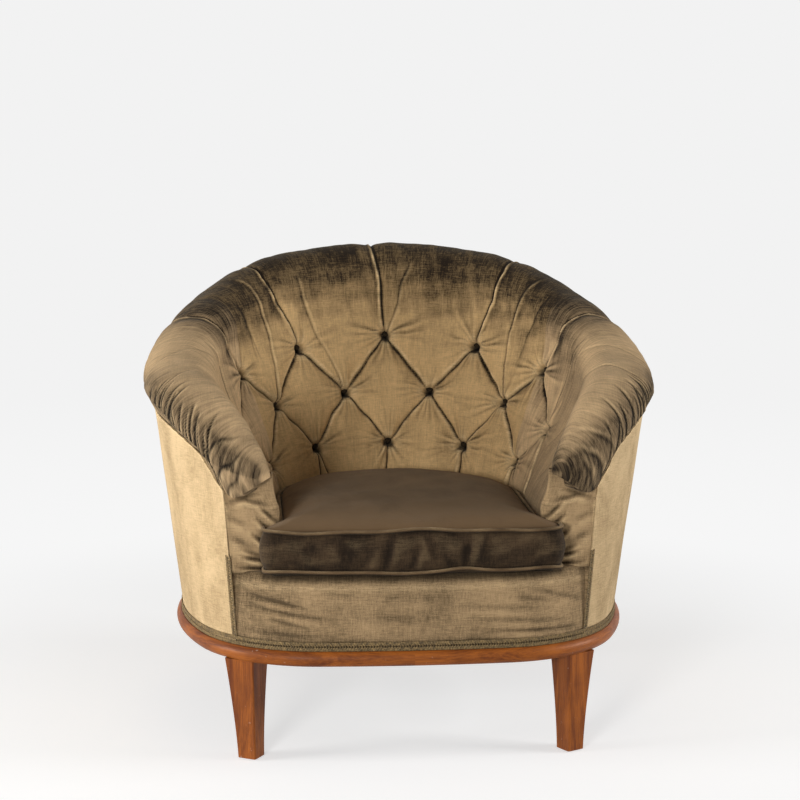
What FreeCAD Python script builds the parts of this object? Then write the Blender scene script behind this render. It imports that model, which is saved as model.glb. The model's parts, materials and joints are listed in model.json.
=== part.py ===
import FreeCAD, Part
import math
import os

os.makedirs("parts", exist_ok=True)

# A tub shaped club chair: show-wood rim and four tapered legs, a hardwood frame inside,
# webbing and coil springs, a buttoned inside back with padded arm rolls, and a loose seat cushion.
# Millimetres. The sitter faces -Y, +X is the right hand side seen from the front, +Z is up.
# Most of the chair is described around an upright axis inside the tub. Angles are counted
# from the middle of the back (0) to the middle of the front (180), alike on both sides.

# Driving dimensions
AXIS_Y = -88.87
LEG_HEIGHT = 155.0
RIM_HEIGHT = 23.0
RIM_TOP = LEG_HEIGHT + RIM_HEIGHT
SEAT_RAIL_TOP = 262.0
DECK_TOP = 295.5
APRON_TOP = 292.4
SEAT_HALF_WIDTH = 206.0
SEAT_ROUND_Y = -55.0
SIDE_SEAM_ANGLE = 128.0
BACK_SEAM_ANGLE = 59.0

# The outline of the rim seen from above: arcs from the middle of the back round to the front.
# Each has its radius and how many degrees it turns; the last one closes on the centre line.
RIM_BACK = 437.6
RIM_ARCS = ((366.5, 83.9), (518.0, 28.9), (211.0, 63.1))

# Upright sections of the tub at these angles, as radius from the axis and height.
# shoulder: where the inside back turns over; crest: the top of the roll;
# outer: the widest place of the roll; under: where the roll meets the outside cover.
SECTION_ANGLES = (0.0, 30.0, 60.0, 90.0, 108.0, 120.0, 131.0, 133.5, 135.5)
SHOULDER_R = (338.0, 330.0, 308.0, 297.0, 290.0, 288.0, 297.0, 299.0, 303.0)
SHOULDER_Z = (690.0, 672.0, 615.0, 545.0, 515.0, 480.0, 450.0, 446.0, 441.0)
CREST_R = (400.0, 390.0, 365.0, 352.0, 340.0, 326.0, 322.0, 323.0, 324.0)
CREST_Z = (764.0, 745.0, 679.0, 603.0, 577.0, 544.0, 492.0, 479.0, 461.0)
OUTER_R = (462.0, 452.0, 430.0, 418.0, 408.0, 392.0, 366.0, 356.0, 344.0)
OUTER_Z = (705.0, 688.0, 630.0, 560.0, 532.0, 492.0, 440.0, 437.0, 434.0)
UNDER_R = (450.0, 441.0, 418.0, 402.0, 394.0, 381.0, 362.0, 353.0, 341.0)
UNDER_Z = (655.0, 640.0, 590.0, 525.0, 508.0, 478.0, 412.0, 413.0, 418.0)

# Deep buttoning: three rows of buttons, spaced evenly round the back
BUTTON_STEP = 29.5
UPPER_ROW_Z = (603.0, 586.0, 556.0)
MIDDLE_ROW_Z = (507.0, 496.0, 465.0)
LOWER_ROW_Z = (419.0, 416.0, 402.0)
BUTTON_DEPTH = 18.0
PLEAT_DEPTH = 8.0
BUTTON_RADIUS = 8.5
BUTTON_THICKNESS = 6.0
BUTTON_ROUNDING = 5.0
BUTTON_SEAT = 2.0
LAST_BUTTON_ANGLE = 2.5 * BUTTON_STEP

# Cloth and stuffing
COVER = 2.5
STUFFED_COVER = 36.0
FIT = 0.7

# Wood
RAIL_INSET = 12.5
RAIL_THICKNESS = 34.0
TOP_RAIL_HALF = 11.0
TOP_RAIL_HEIGHT = 40.0

# Legs: section at the top and at the foot, and where the centres of both are
LEG_TOP = 50.5
LEG_FOOT = 31.0
LEG_EDGE = 3.0
FRONT_LEG_TOP_XY = (256.0, -288.5)
FRONT_LEG_FOOT_XY = (250.0, -312.5)
FRONT_LEG_TURN = 29.5
REAR_LEG_TOP_XY = (235.0, 223.0)
REAR_LEG_FOOT_XY = (246.0, 240.0)
REAR_LEG_TURN = 45.0
GLIDE_THICKNESS = 2.0
GLIDE_RADIUS = 9.0

# Loose cushion
CUSHION_BOTTOM = 295.9
CUSHION_SEAM_LOW = 300.0
CUSHION_SEAM_HIGH = 362.0
CUSHION_CROWN = 33.0
CUSHION_HALF_WIDTH = 196.0
CUSHION_EAR_HALF_WIDTH = 224.5
CUSHION_EAR_BACK = -319.0
CUSHION_FRONT = -350.5
CUSHION_FRONT_TURN = 4.0
CUSHION_BACK = 141.0
CUSHION_CORNER = 12.0
CUSHION_EAR_CORNER = 4.2
CUSHION_DRAWN_IN = 4.0
PIPING_RADIUS = 3.2


def vec(x, y, z):
    return FreeCAD.Vector(x, y, z)


def around(radius, angle, z):
    """Point at a radius and an angle round the upright axis of the tub."""
    turn = math.radians(angle)
    return vec(radius * math.sin(turn), AXIS_Y + radius * math.cos(turn), z)


def smooth(values, angle):
    """Value of a section dimension at any angle, on a smooth curve through the stations."""
    place = min(abs(angle), SECTION_ANGLES[-1])
    last = len(values) - 1
    i = 0
    while i < last - 1 and place > SECTION_ANGLES[i + 1]:
        i = i + 1
    span = SECTION_ANGLES[i + 1] - SECTION_ANGLES[i]
    rise = values[i + 1] - values[i]
    start_slope = 0.0
    if i > 0:
        before = (values[i] - values[i - 1]) / (SECTION_ANGLES[i] - SECTION_ANGLES[i - 1])
        start_slope = slope_between(before, rise / span)
    end_slope = rise / span
    if i + 1 < last:
        after = (values[i + 2] - values[i + 1]) / (SECTION_ANGLES[i + 2] - SECTION_ANGLES[i + 1])
        end_slope = slope_between(rise / span, after)
    t = (place - SECTION_ANGLES[i]) / span
    blend = t * t * (3.0 - 2.0 * t)
    bend = t * (1.0 - t) * (start_slope * (1.0 - t) - end_slope * t) * span
    return values[i] + rise * blend + bend


def slope_between(before, after):
    """Slope at a station: none where the curve turns back, else the harmonic mean."""
    if before * after <= 0.0:
        return 0.0
    return 2.0 * before * after / (before + after)


def row_height(row, angle):
    """Height of a row of buttons at an angle, straight between its buttons."""
    first = 0.0 if row is not MIDDLE_ROW_Z else 0.5
    place = abs(angle) / BUTTON_STEP - first
    place = min(max(place, 0.0), 2.0)
    i = min(int(place), 1)
    return row[i] + (row[i + 1] - row[i]) * (place - i)


def rim_arcs():
    """Centre, radius and turn of each arc of the right half of the rim outline."""
    arcs = []
    x = 0.0
    y = AXIS_Y + RIM_BACK
    heading = 0.0
    turns = list(RIM_ARCS)
    turned = sum(turn for radius, turn in turns)
    for radius, turn in turns + [(None, 180.0 - turned)]:
        if radius is None:
            radius = x / math.sin(math.radians(turn))
        start = math.radians(heading)
        cx = x - radius * math.sin(start)
        cy = y - radius * math.cos(start)
        arcs.append((cx, cy, radius, heading, heading + turn))
        heading = heading + turn
        x = cx + radius * math.sin(math.radians(heading))
        y = cy + radius * math.cos(math.radians(heading))
    return arcs


ARCS = rim_arcs()


def rim_point(heading, offset):
    """Point of the rim outline that faces a heading, moved outwards by an offset."""
    side = 1.0
    if heading > 180.0:
        heading = 360.0 - heading
        side = -1.0
    if heading < 0.0:
        heading = -heading
        side = -1.0
    for cx, cy, radius, start, end in ARCS:
        if heading <= end + 1e-9:
            break
    reach = radius + offset
    turn = math.radians(heading)
    return side * (cx + reach * math.sin(turn)), cy + reach * math.cos(turn)


def heading_at(angle, offset):
    """Heading of the rim outline at an angle round the axis."""
    low = 0.0
    high = 180.0
    for step in range(50):
        middle = 0.5 * (low + high)
        x, y = rim_point(middle, offset)
        if math.degrees(math.atan2(x, y - AXIS_Y)) < angle:
            low = middle
        else:
            high = middle
    return 0.5 * (low + high)


def rim_radius(angle, offset):
    """Distance from the axis to the rim outline at an angle."""
    x, y = rim_point(heading_at(abs(angle), offset), offset)
    return math.hypot(x, y - AXIS_Y)


def line(a, b):
    return Part.LineSegment(a, b).toShape()


def arc(a, through, b):
    """Arc through three points, or a line where they are nearly in line."""
    chord = b.sub(a)
    height = through.sub(a).cross(chord).Length / chord.Length
    if height < 0.02:
        return line(a, b)
    return Part.Arc(a, through, b).toShape()


def polygon(points):
    edges = [line(points[i], points[(i + 1) % len(points)]) for i in range(len(points))]
    return Part.Wire(edges)


def prism(points, push):
    """Straight solid from a flat outline pushed along a vector."""
    return Part.Face(polygon(points)).extrude(push)


def loft(wires, ruled):
    return Part.makeLoft(wires, True, ruled)


def box(low, high):
    return Part.makeBox(high[0] - low[0], high[1] - low[1], high[2] - low[2], vec(*low))


def mirrored(shape):
    """The same piece on the other side of the chair."""
    return shape.mirror(vec(0, 0, 0), vec(1, 0, 0))


def joined(shapes):
    """Pieces that touch face to face, as one solid."""
    first = shapes[0]
    if len(shapes) == 1:
        return first
    return first.multiFuse(shapes[1:]).removeSplitter()


def largest(shape):
    return max(shape.Solids, key=lambda solid: solid.Volume)


def along_rim(profile, start, end):
    """Solid with one upright section, following the rim outline between two headings.

    profile(heading) gives the section's outline as a wire in the plane square to the rim.
    """
    pieces = []
    stops = [0.0, 180.0, 360.0]
    for cx, cy, radius, first, last in ARCS:
        stops = stops + [last, 360.0 - last, -last]
    cuts = sorted(stop for stop in set(stops) if start + 1e-6 < stop < end - 1e-6)
    bounds = [start] + cuts + [end]
    for i in range(len(bounds) - 1):
        middle = 0.5 * (bounds[i] + bounds[i + 1])
        side = -1.0 if middle > 180.0 or middle < 0.0 else 1.0
        folded = 360.0 - middle if middle > 180.0 else abs(middle)
        for cx, cy, radius, first, last in ARCS:
            if folded <= last:
                break
        face = Part.Face(profile(bounds[i]))
        turn = bounds[i + 1] - bounds[i]
        piece = face.revolve(vec(side * cx, cy, 0), vec(0, 0, -1), turn)
        pieces.append(piece)
    return joined(pieces)


def rim_section(points):
    """Profile for along_rim. points are offset and height; a third value is an arc's middle."""
    def profile(heading):
        placed = []
        for point in points:
            spots = []
            for offset, z in point:
                x, y = rim_point(heading, offset)
                spots.append(vec(x, y, z))
            placed.append(spots)
        edges = []
        for i in range(len(placed)):
            here = placed[i]
            after = placed[(i + 1) % len(placed)][0]
            if len(here) == 2:
                edges.append(arc(here[0], here[1], after))
            else:
                edges.append(line(here[0], after))
        return Part.Wire(edges)
    return profile


def rectangle_section(offset_in, offset_out, low, high):
    return rim_section([[(offset_in, low)], [(offset_out, low)], [(offset_out, high)], [(offset_in, high)]])


# Legs and rim

def leg_wire(centre, side, turn, z):
    """Square with eased corners, turned about its own centre."""
    half = 0.5 * side
    flat = half - LEG_EDGE
    ease = LEG_EDGE * math.sqrt(0.5)
    edges = []
    angle = math.radians(turn)

    def spot(x, y):
        return vec(centre[0] + x * math.cos(angle) - y * math.sin(angle),
                   centre[1] + x * math.sin(angle) + y * math.cos(angle), z)

    for quarter in range(4):
        c = math.cos(quarter * math.pi / 2)
        s = math.sin(quarter * math.pi / 2)

        def quarter_spot(x, y):
            return spot(x * c - y * s, x * s + y * c)

        edges.append(line(quarter_spot(half, -flat), quarter_spot(half, flat)))
        edges.append(arc(quarter_spot(half, flat), quarter_spot(flat + ease, flat + ease),
                         quarter_spot(flat, half)))
    return Part.Wire(edges)


def leg(top, foot, turn):
    """Tapered leg with a gently hollowed outline, thinner towards the foot."""
    wires = []
    levels = 5
    for i in range(levels):
        t = i / (levels - 1)
        thinning = 1.0 - (1.0 - t) ** 1.4
        side = LEG_TOP + (LEG_FOOT - LEG_TOP) * thinning
        x = top[0] + (foot[0] - top[0]) * t
        y = top[1] + (foot[1] - top[1]) * t ** 1.15
        z = LEG_HEIGHT + (GLIDE_THICKNESS - LEG_HEIGHT) * t
        wires.append(leg_wire((x, y), side, turn, z))
    return loft(wires, False)


def glides():
    """Plain nylon glides, one under each foot."""
    discs = []
    for x, y in (FRONT_LEG_FOOT_XY, REAR_LEG_FOOT_XY):
        for side in (-1.0, 1.0):
            discs.append(Part.makeCylinder(GLIDE_RADIUS, GLIDE_THICKNESS, vec(side * x, y, 0)))
    return Part.makeCompound(discs)


BOLT_RADIUS = 4.0
BOLT_LENGTH = 90.0
BOLT_START = LEG_HEIGHT - 40.0
HOLE_PLAY = 0.15


def leg_bolts(play):
    """A hanger bolt from each leg up through the rim into the seat rail, or its hole."""
    bolts = []
    for x, y in (FRONT_LEG_TOP_XY, REAR_LEG_TOP_XY):
        for side in (-1.0, 1.0):
            bolts.append(Part.makeCylinder(BOLT_RADIUS + play, BOLT_LENGTH, vec(side * x, y, BOLT_START)))
    return bolts


def rim_profile():
    """Bull-nosed moulding of the rim, proud of the cover above it."""
    middle = LEG_HEIGHT + 0.5 * RIM_HEIGHT
    return rim_section([[(-34.0, LEG_HEIGHT)], [(-3.0, LEG_HEIGHT), (4.0, middle)],
                        [(-3.0, RIM_TOP)], [(-34.0, RIM_TOP)]])


FRONT_MITRE = 135.0
REAR_MITRE = 45.0
JOINT_GAP = 0.05


def rim_pieces(profile):
    """Back, right, front and left lengths of one section, cut square at the four corners."""
    back = along_rim(profile, -REAR_MITRE, REAR_MITRE)
    right = along_rim(profile, REAR_MITRE + JOINT_GAP, FRONT_MITRE - JOINT_GAP)
    front = along_rim(profile, FRONT_MITRE, 360.0 - FRONT_MITRE)
    return back, right, front, mirrored(right)


# Sections of the upholstery

def seat_edge_radius(angle):
    """Radius of the inside of the tub at seat level: straight sides and a round back."""
    turn = math.radians(abs(angle))
    shift = SEAT_ROUND_Y - AXIS_Y
    corner = math.degrees(math.atan2(SEAT_HALF_WIDTH, shift))
    if abs(angle) >= corner:
        return SEAT_HALF_WIDTH / math.sin(turn)
    reach = math.sqrt(SEAT_HALF_WIDTH ** 2 - (shift * math.sin(turn)) ** 2)
    return shift * math.cos(turn) + reach


UPRIGHT_TO = 355.0


def inside_radius(angle, z):
    """Radius of the puffed inside surface: upright beside the cushion, then leaning back."""
    low = seat_edge_radius(angle)
    top = smooth(SHOULDER_R, angle)
    t = (z - UPRIGHT_TO) / (smooth(SHOULDER_Z, angle) - UPRIGHT_TO)
    t = min(max(t, 0.0), 1.0)
    lean = 0.5 * t + 0.5 * t * t * (3.0 - 2.0 * t)
    return low + (top - low) * lean


def pleat_crossings(angle):
    """Heights and depth of the two slanting pleats that a section cuts, and of the upright pleat."""
    place = abs(angle) / (0.5 * BUTTON_STEP)
    strip = min(int(place + 1e-9), 4)
    u = place - strip
    if u > 1.0:
        fade = max(0.0, 1.0 - (u - 1.0) / 0.7)
        spread = min(1.0, (u - 1.0) / 2.0) * 45.0
        z = row_height(MIDDLE_ROW_Z, LAST_BUTTON_ANGLE)
        drop = z + 0.35 * (smooth(SHOULDER_Z, angle) - row_shoulder())
        return drop - 7.0 - spread, drop + 7.0 + 0.4 * spread, BUTTON_DEPTH * fade, PLEAT_DEPTH * fade
    outer_first = strip % 2 == 0
    t = u if outer_first else 1.0 - u
    whole = strip if outer_first else strip + 1
    half = strip + 1 if outer_first else strip
    upper = row_height(UPPER_ROW_Z, whole * 0.5 * BUTTON_STEP)
    lower = row_height(LOWER_ROW_Z, whole * 0.5 * BUTTON_STEP)
    middle = row_height(MIDDLE_ROW_Z, half * 0.5 * BUTTON_STEP)
    low = lower + (middle - lower) * t - BUTTON_RADIUS * t
    high = upper + (middle - upper) * t + BUTTON_RADIUS * t
    depth = PLEAT_DEPTH + (BUTTON_DEPTH - PLEAT_DEPTH) * (2.0 * t - 1.0) ** 2
    upright = PLEAT_DEPTH * max(0.0, 1.0 - t / 0.17)
    return low, high, depth, upright


def row_shoulder():
    """Height of the shoulder beside the last button."""
    return smooth(SHOULDER_Z, LAST_BUTTON_ANGLE)


TUCK_Z = 285.0
NOSE_RISE = 19.0


def hollow_points(angle):
    """The back of the stuffed cover: inside the roll, then down behind the pleats."""
    thin = 1.0 - min(max((abs(angle) - 122.0) / 13.5, 0.0), 1.0)
    wall = 8.0 + (STUFFED_COVER - 8.0) * thin
    under = (smooth(UNDER_R, angle), smooth(UNDER_Z, angle))
    shoulder = (smooth(SHOULDER_R, angle), smooth(SHOULDER_Z, angle))
    crest = (smooth(CREST_R, angle), smooth(CREST_Z, angle))
    roll_out = (under[0] - 26.0, under[1] + 4.0)
    roll_top = (crest[0] + 6.0 * thin, crest[1] - 30.0)
    roll_in = (shoulder[0] + 30.0 * thin + 4.0 * (1.0 - thin), shoulder[1] - 10.0)
    foot = (seat_edge_radius(angle) + wall, TUCK_Z)
    if abs(angle) > 131.0:
        nose = min((abs(angle) - 131.0) / 1.5, 1.0)
        low_z = under[1] + NOSE_RISE
        roll_in = (seat_edge_radius(angle) + wall + 1.0, roll_in[1] + (low_z - roll_in[1]) * nose)
        step = (under[0] - roll_in[0]) / 3.0
        flat_top = (roll_in[0] + step, under[1] + 0.667 * NOSE_RISE + 0.3)
        flat_out = under[1] + 0.333 * NOSE_RISE + 0.2
        roll_top = (roll_top[0] + (flat_top[0] - roll_top[0]) * nose,
                    roll_top[1] + (flat_top[1] - roll_top[1]) * nose)
        roll_out = (under[0] - step, roll_out[1] + (flat_out - roll_out[1]) * nose)
    return roll_out, roll_top, roll_in, foot


def inside_wire(angle):
    """One section of the buttoned inside and its roll: arcs for every puff, then the hollow back."""
    low, high, depth, upright = pleat_crossings(angle)
    shoulder_z = smooth(SHOULDER_Z, angle)
    high = min(high, shoulder_z - 14.0)
    low = min(low, high - 12.0)

    def inside(z, sink):
        return around(inside_radius(angle, z) + sink, angle, z)

    foot = inside(TUCK_Z, 0.0)
    knee = inside(UPRIGHT_TO, 0.0)
    lower = inside(low, depth)
    upper = inside(high, depth)
    shoulder = around(smooth(SHOULDER_R, angle) + upright, angle, shoulder_z)
    puff = min(1.0, (high - low) / 60.0)
    lower_z = 0.5 * (UPRIGHT_TO + low)
    middle_z = 0.5 * (low + high)
    upper_z = 0.5 * (high + shoulder_z)
    crest = around(smooth(CREST_R, angle), angle, smooth(CREST_Z, angle) - upright)
    outer = around(smooth(OUTER_R, angle) - 0.7 * upright, angle, smooth(OUTER_Z, angle))
    under = around(smooth(UNDER_R, angle), angle, smooth(UNDER_Z, angle))
    s = math.sqrt(0.5)

    def between(a, b, c):
        """Middle of a quarter turn from a to b about the corner opposite c."""
        return vec(c.x + (a.x - c.x) * s + (b.x - c.x) * s,
                   c.y + (a.y - c.y) * s + (b.y - c.y) * s,
                   c.z + (a.z - c.z) * s + (b.z - c.z) * s)

    in_centre = vec(crest.x, crest.y, shoulder.z)
    out_centre = vec(crest.x, crest.y, outer.z)
    edges = [
        line(foot, knee),
        arc(knee, inside(lower_z, upright), lower),
        arc(lower, inside(middle_z, depth * (1.0 - puff)), upper),
        arc(upper, inside(upper_z, upright), shoulder),
        arc(shoulder, between(shoulder, crest, in_centre), crest),
        arc(crest, between(crest, outer, out_centre), outer),
        line(outer, under),
    ]
    back = [around(r, angle, z) for r, z in hollow_points(angle)]
    chain = [under] + back + [foot]
    for i in range(len(chain) - 1):
        edges.append(line(chain[i], chain[i + 1]))
    return Part.Wire(edges)


STRIP_STEPS = (0.0, 0.17, 0.38, 0.62, 0.83)
ARM_ANGLES = (77.0, 82.0, 88.0, 94.0, 100.0, 106.0, 111.0, 116.0, 120.0, 124.0, 127.5, 131.0,
              132.5, 133.5, 134.6, 135.5)


def inside_back_cover():
    """Buttoned inside of the back with its roll, between the two hidden seams."""
    angles = []
    for strip in range(-4, 4):
        for step in STRIP_STEPS:
            angles.append((strip + step) * 0.5 * BUTTON_STEP)
    angles.append(BACK_SEAM_ANGLE)
    return with_button_seats(loft([inside_wire(angle) for angle in angles], True))


def inside_arm_cover():
    """Inside of the right arm with its roll, from the hidden seam to the front of the arm."""
    angles = [BACK_SEAM_ANGLE + JOINT_GAP]
    for step in STRIP_STEPS[1:]:
        angles.append(BACK_SEAM_ANGLE + step * 0.5 * BUTTON_STEP)
    angles.append(LAST_BUTTON_ANGLE)
    return with_button_seats(loft([inside_wire(angle) for angle in angles + list(ARM_ANGLES)], True))


def with_button_seats(cover):
    """The cover with a flat seat pressed in under every button that lies on it."""
    for angle, z in button_places():
        start, outward = button_seat(angle, z)
        press = Part.makeCylinder(BUTTON_RADIUS + 0.4, 40.0, start, outward)
        if press.distToShape(cover)[0] == 0.0:
            cover = largest(cover.cut(press))
    return cover


def button_places():
    """Angle and height of the sixteen buttons."""
    places = []
    for k in range(-2, 3):
        places.append((k * BUTTON_STEP, row_height(UPPER_ROW_Z, k * BUTTON_STEP)))
        places.append((k * BUTTON_STEP, row_height(LOWER_ROW_Z, k * BUTTON_STEP)))
    for k in range(-3, 3):
        angle = (k + 0.5) * BUTTON_STEP
        places.append((angle, row_height(MIDDLE_ROW_Z, angle)))
    return places


def button_frame(angle, z):
    """Centre of a button's base in its pit, and the direction towards the sitter."""
    base = around(inside_radius(angle, z) + BUTTON_DEPTH, angle, z)
    above = around(inside_radius(angle, z + 10.0) + BUTTON_DEPTH, angle, z + 10.0)
    rise = above.sub(base)
    rise.normalize()
    turn = math.radians(angle)
    sideways = vec(math.cos(turn), -math.sin(turn), 0)
    outward = rise.cross(sideways)
    inward = vec(-math.sin(turn), -math.cos(turn), 0)
    if outward.dot(inward) < 0.0:
        outward = outward.multiply(-1.0)
    return base, outward


def button_seat(angle, z):
    """Middle of the flat seat under a button, and the direction towards the sitter."""
    base, outward = button_frame(angle, z)
    lift = vec(outward.x, outward.y, outward.z).multiply(BUTTON_SEAT)
    return base.add(lift), outward


def buttons():
    """Covered buttons: low domes pulled into the stuffing."""
    disc = Part.makeCylinder(BUTTON_RADIUS, BUTTON_THICKNESS)
    top = max(disc.Edges, key=lambda edge: edge.CenterOfMass.z)
    dome = disc.makeFillet(BUTTON_ROUNDING, [top])
    placed = []
    for angle, z in button_places():
        start, outward = button_seat(angle, z)
        turn = FreeCAD.Rotation(vec(0, 0, 1), outward)
        copy = dome.copy()
        copy.Placement = FreeCAD.Placement(start, turn)
        placed.append(copy)
    return placed


# Layers behind the covers

LAYER_ANGLES = (0.0, 15.0, 30.0, 45.0, 58.5)
ARM_LAYER_ANGLES = (59.5, 70.0, 80.0, 90.0, 100.0, 110.0, 119.0)


OUTSIDE_BACK_ANGLES = (0.0, 15.0, 30.0, 45.0, BACK_SEAM_ANGLE)
OUTSIDE_ARM_ANGLES = (BACK_SEAM_ANGLE + JOINT_GAP, 62.0, 65.0, 70.0, 75.0, 80.0, 85.0, 90.0, 100.0, 108.0,
                      114.0, 119.0, 123.0, 126.0, SIDE_SEAM_ANGLE)


def layer(section, angles):
    """Smooth solid through four-cornered upright sections."""
    wires = []
    for angle in angles:
        wires.append(polygon([around(r, angle, z) for r, z in section(angle)]))
    return loft(wires, False)


def both_sides(angles):
    """The same angles on the left and the right of the middle."""
    return [-angle for angle in reversed(angles) if angle > 0.0] + list(angles)


def padding_section(angle):
    """Stuffing between the buttoned cover and the webbing."""
    roll_out, roll_top, roll_in, foot = hollow_points(angle)
    top_z = smooth(UNDER_Z, angle) - TOP_RAIL_HEIGHT - 6.0
    t = (top_z - foot[1]) / (roll_in[1] - foot[1])
    top_r = foot[0] + (roll_in[0] - foot[0]) * t
    return ((foot[0] + 1.5, TUCK_Z), (foot[0] + 17.0, TUCK_Z), (top_r + 17.0, top_z), (top_r + 1.5, top_z))


def roll_section(angle):
    """Firm edge roll on top of the arm and back rails."""
    roll_out, roll_top, roll_in, foot = hollow_points(angle)
    base = smooth(UNDER_Z, angle) + FIT
    top = roll_top[1] - 6.0
    return ((roll_in[0] + 5.0, base), (roll_out[0] - 2.5, base),
            (roll_top[0] + 0.7, top), (roll_top[0] - 2.3, top))


def top_rail_section(angle):
    """Sawn rail that carries the roll."""
    centre = top_rail_radius(angle)
    top = smooth(UNDER_Z, angle) - FIT
    low = top - TOP_RAIL_HEIGHT
    return ((centre - TOP_RAIL_HALF, low), (centre + TOP_RAIL_HALF, low),
            (centre + TOP_RAIL_HALF, top), (centre - TOP_RAIL_HALF, top))


def top_rail_radius(angle):
    roll_out, roll_top, roll_in, foot = hollow_points(angle)
    return 0.5 * (roll_out[0] + roll_in[0]) + 1.0


def outside_radius(angle, z):
    """Outer surface of the outside cover, flaring upwards from the rim."""
    low = rim_radius(angle, -7.5)
    high = smooth(UNDER_R, angle) - 1.5
    top = smooth(UNDER_Z, angle) - 2.0 * FIT
    return low + (high - low) * (z - RIM_TOP) / (top - RIM_TOP)


def outside_section(angle):
    """Cloth of the outside cover, from the rim to the underside of the roll."""
    top = smooth(UNDER_Z, angle) - 2.0 * FIT
    low_r = outside_radius(angle, RIM_TOP)
    top_r = outside_radius(angle, top)
    return ((low_r - COVER, RIM_TOP), (low_r, RIM_TOP), (top_r, top), (top_r - COVER, top))


POST_WIDTH = 40.0
POST_DEPTH = 24.0


def post(angle, rail):
    """Upright between the seat rail and the rail above, cut to the underside of that rail."""
    low_r = rim_radius(angle, -RAIL_INSET - 0.5 * RAIL_THICKNESS)
    high_r = top_rail_radius(angle)
    top = smooth(UNDER_Z, angle) - 8.0
    turn = math.radians(angle)
    along = vec(math.cos(turn), -math.sin(turn), 0).multiply(0.5 * POST_WIDTH)
    out = vec(math.sin(turn), math.cos(turn), 0).multiply(0.5 * POST_DEPTH)
    wires = []
    for radius, z in ((low_r, SEAT_RAIL_TOP), (high_r, top)):
        middle = around(radius, angle, z)
        wires.append(polygon([middle.add(along).add(out), middle.sub(along).add(out),
                              middle.sub(along).sub(out), middle.add(along).sub(out)]))
    lowest = loft(wires, True).cut(rail)
    return min(lowest.Solids, key=lambda solid: solid.CenterOfMass.z)


def back_webbing():
    """Upright jute webs behind the stuffing, from the seat to the top rail."""
    webs = []
    for angle in (-50.0, -30.0, -10.0, 10.0, 30.0, 50.0):
        section = padding_section(angle)
        low_r = section[1][0] + 2.8
        high_r = section[2][0] + 2.8
        turn = math.radians(angle)
        along = vec(math.cos(turn), -math.sin(turn), 0).multiply(25.0)
        low = around(low_r, angle, SEAT_RAIL_TOP + 25.0)
        high = around(high_r, angle, section[2][1] + 2.0)
        out = vec(math.sin(turn), math.cos(turn), 0).multiply(1.6)
        webs.append(prism([low.sub(along), low.add(along), high.add(along), high.sub(along)], out))
    return webs


# Front of the chair

def front_apron():
    """Cloth over the front rail, rounded over its top edge, between the two side seams."""
    seam = heading_at(SIDE_SEAM_ANGLE, -7.5) + JOINT_GAP
    outline = [
        [(-10.0, RIM_TOP)],
        [(-7.5, RIM_TOP)],
        [(-7.5, APRON_TOP - 14.0), (-11.0, APRON_TOP - 4.0)],
        [(-20.0, APRON_TOP)],
        [(-20.0, APRON_TOP - COVER), (-12.6, APRON_TOP - 6.0)],
        [(-10.0, APRON_TOP - 14.0)],
    ]
    return along_rim(rim_section(outline), seam, 360.0 - seam)


def front_border_roll():
    """Firm roll on the front rail under the apron."""
    seam = heading_at(SIDE_SEAM_ANGLE, -7.5) + 4.0
    outline = [
        [(-34.0, SEAT_RAIL_TOP + 0.2)],
        [(-12.0, SEAT_RAIL_TOP + 0.2), (-14.5, APRON_TOP - 10.0)],
        [(-22.0, APRON_TOP - COVER - 1.5)],
        [(-34.0, APRON_TOP - COVER - 1.5)],
    ]
    return along_rim(rim_section(outline), seam, 360.0 - seam)


FACING_LOW = APRON_TOP + 0.5
FACING_OUTER_TOP = 409.0
FACING_INNER_TOP = 429.0
FACING_THICKNESS = 3.5
FACING_FRONT = -308.5
FACING_LEAN = 0.025


def arm_facing():
    """Panel that closes the front of the right arm, under the end of the roll."""
    inner = SEAT_HALF_WIDTH + 0.4

    def outer(z):
        reach = outside_radius(SIDE_SEAM_ANGLE, z) - COVER - 1.0
        return reach * math.sin(math.radians(SIDE_SEAM_ANGLE))

    def front(z):
        return FACING_FRONT - FACING_LEAN * (z - FACING_LOW)

    corners = []
    for x, z in ((inner, FACING_LOW), (outer(FACING_LOW), FACING_LOW),
                 (outer(FACING_OUTER_TOP), FACING_OUTER_TOP), (inner, FACING_INNER_TOP)):
        corners.append(vec(x, front(z), z))
    return prism(corners, vec(0, FACING_THICKNESS, 0))


def side_gimp():
    """Narrow braid down the side seam, from the cushion's height to the rim."""
    wires = []
    for z in (RIM_TOP + 14.5, 0.5 * (RIM_TOP + 345.0), 345.0):
        radius = outside_radius(SIDE_SEAM_ANGLE, z)
        low = SIDE_SEAM_ANGLE - 0.75
        high = SIDE_SEAM_ANGLE + 0.75
        wires.append(polygon([around(radius + 0.9, low, z), around(radius + 2.6, low, z),
                              around(radius + 2.6, high, z), around(radius + 0.9, high, z)]))
    return loft(wires, False)


def base_gimp():
    """Braid round the foot of the covers: a front length and a length round sides and back."""
    outline = [
        [(-6.3, RIM_TOP + 0.2)],
        [(-3.6, RIM_TOP + 0.2), (-2.1, RIM_TOP + 7.0)],
        [(-1.8, RIM_TOP + 14.0)],
        [(-4.1, RIM_TOP + 14.0)],
    ]
    seam = heading_at(SIDE_SEAM_ANGLE, -7.5)
    section = rim_section(outline)
    front = along_rim(section, seam + 0.2, 360.0 - seam - 0.2)
    rest = along_rim(section, -seam + 0.2, seam - 0.2)
    return [front, rest]


# Seat

WEB_THICKNESS = 1.6
WEB_WIDTH = 52.0
WEB_Z = RIM_TOP - 2.0 * WEB_THICKNESS


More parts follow.
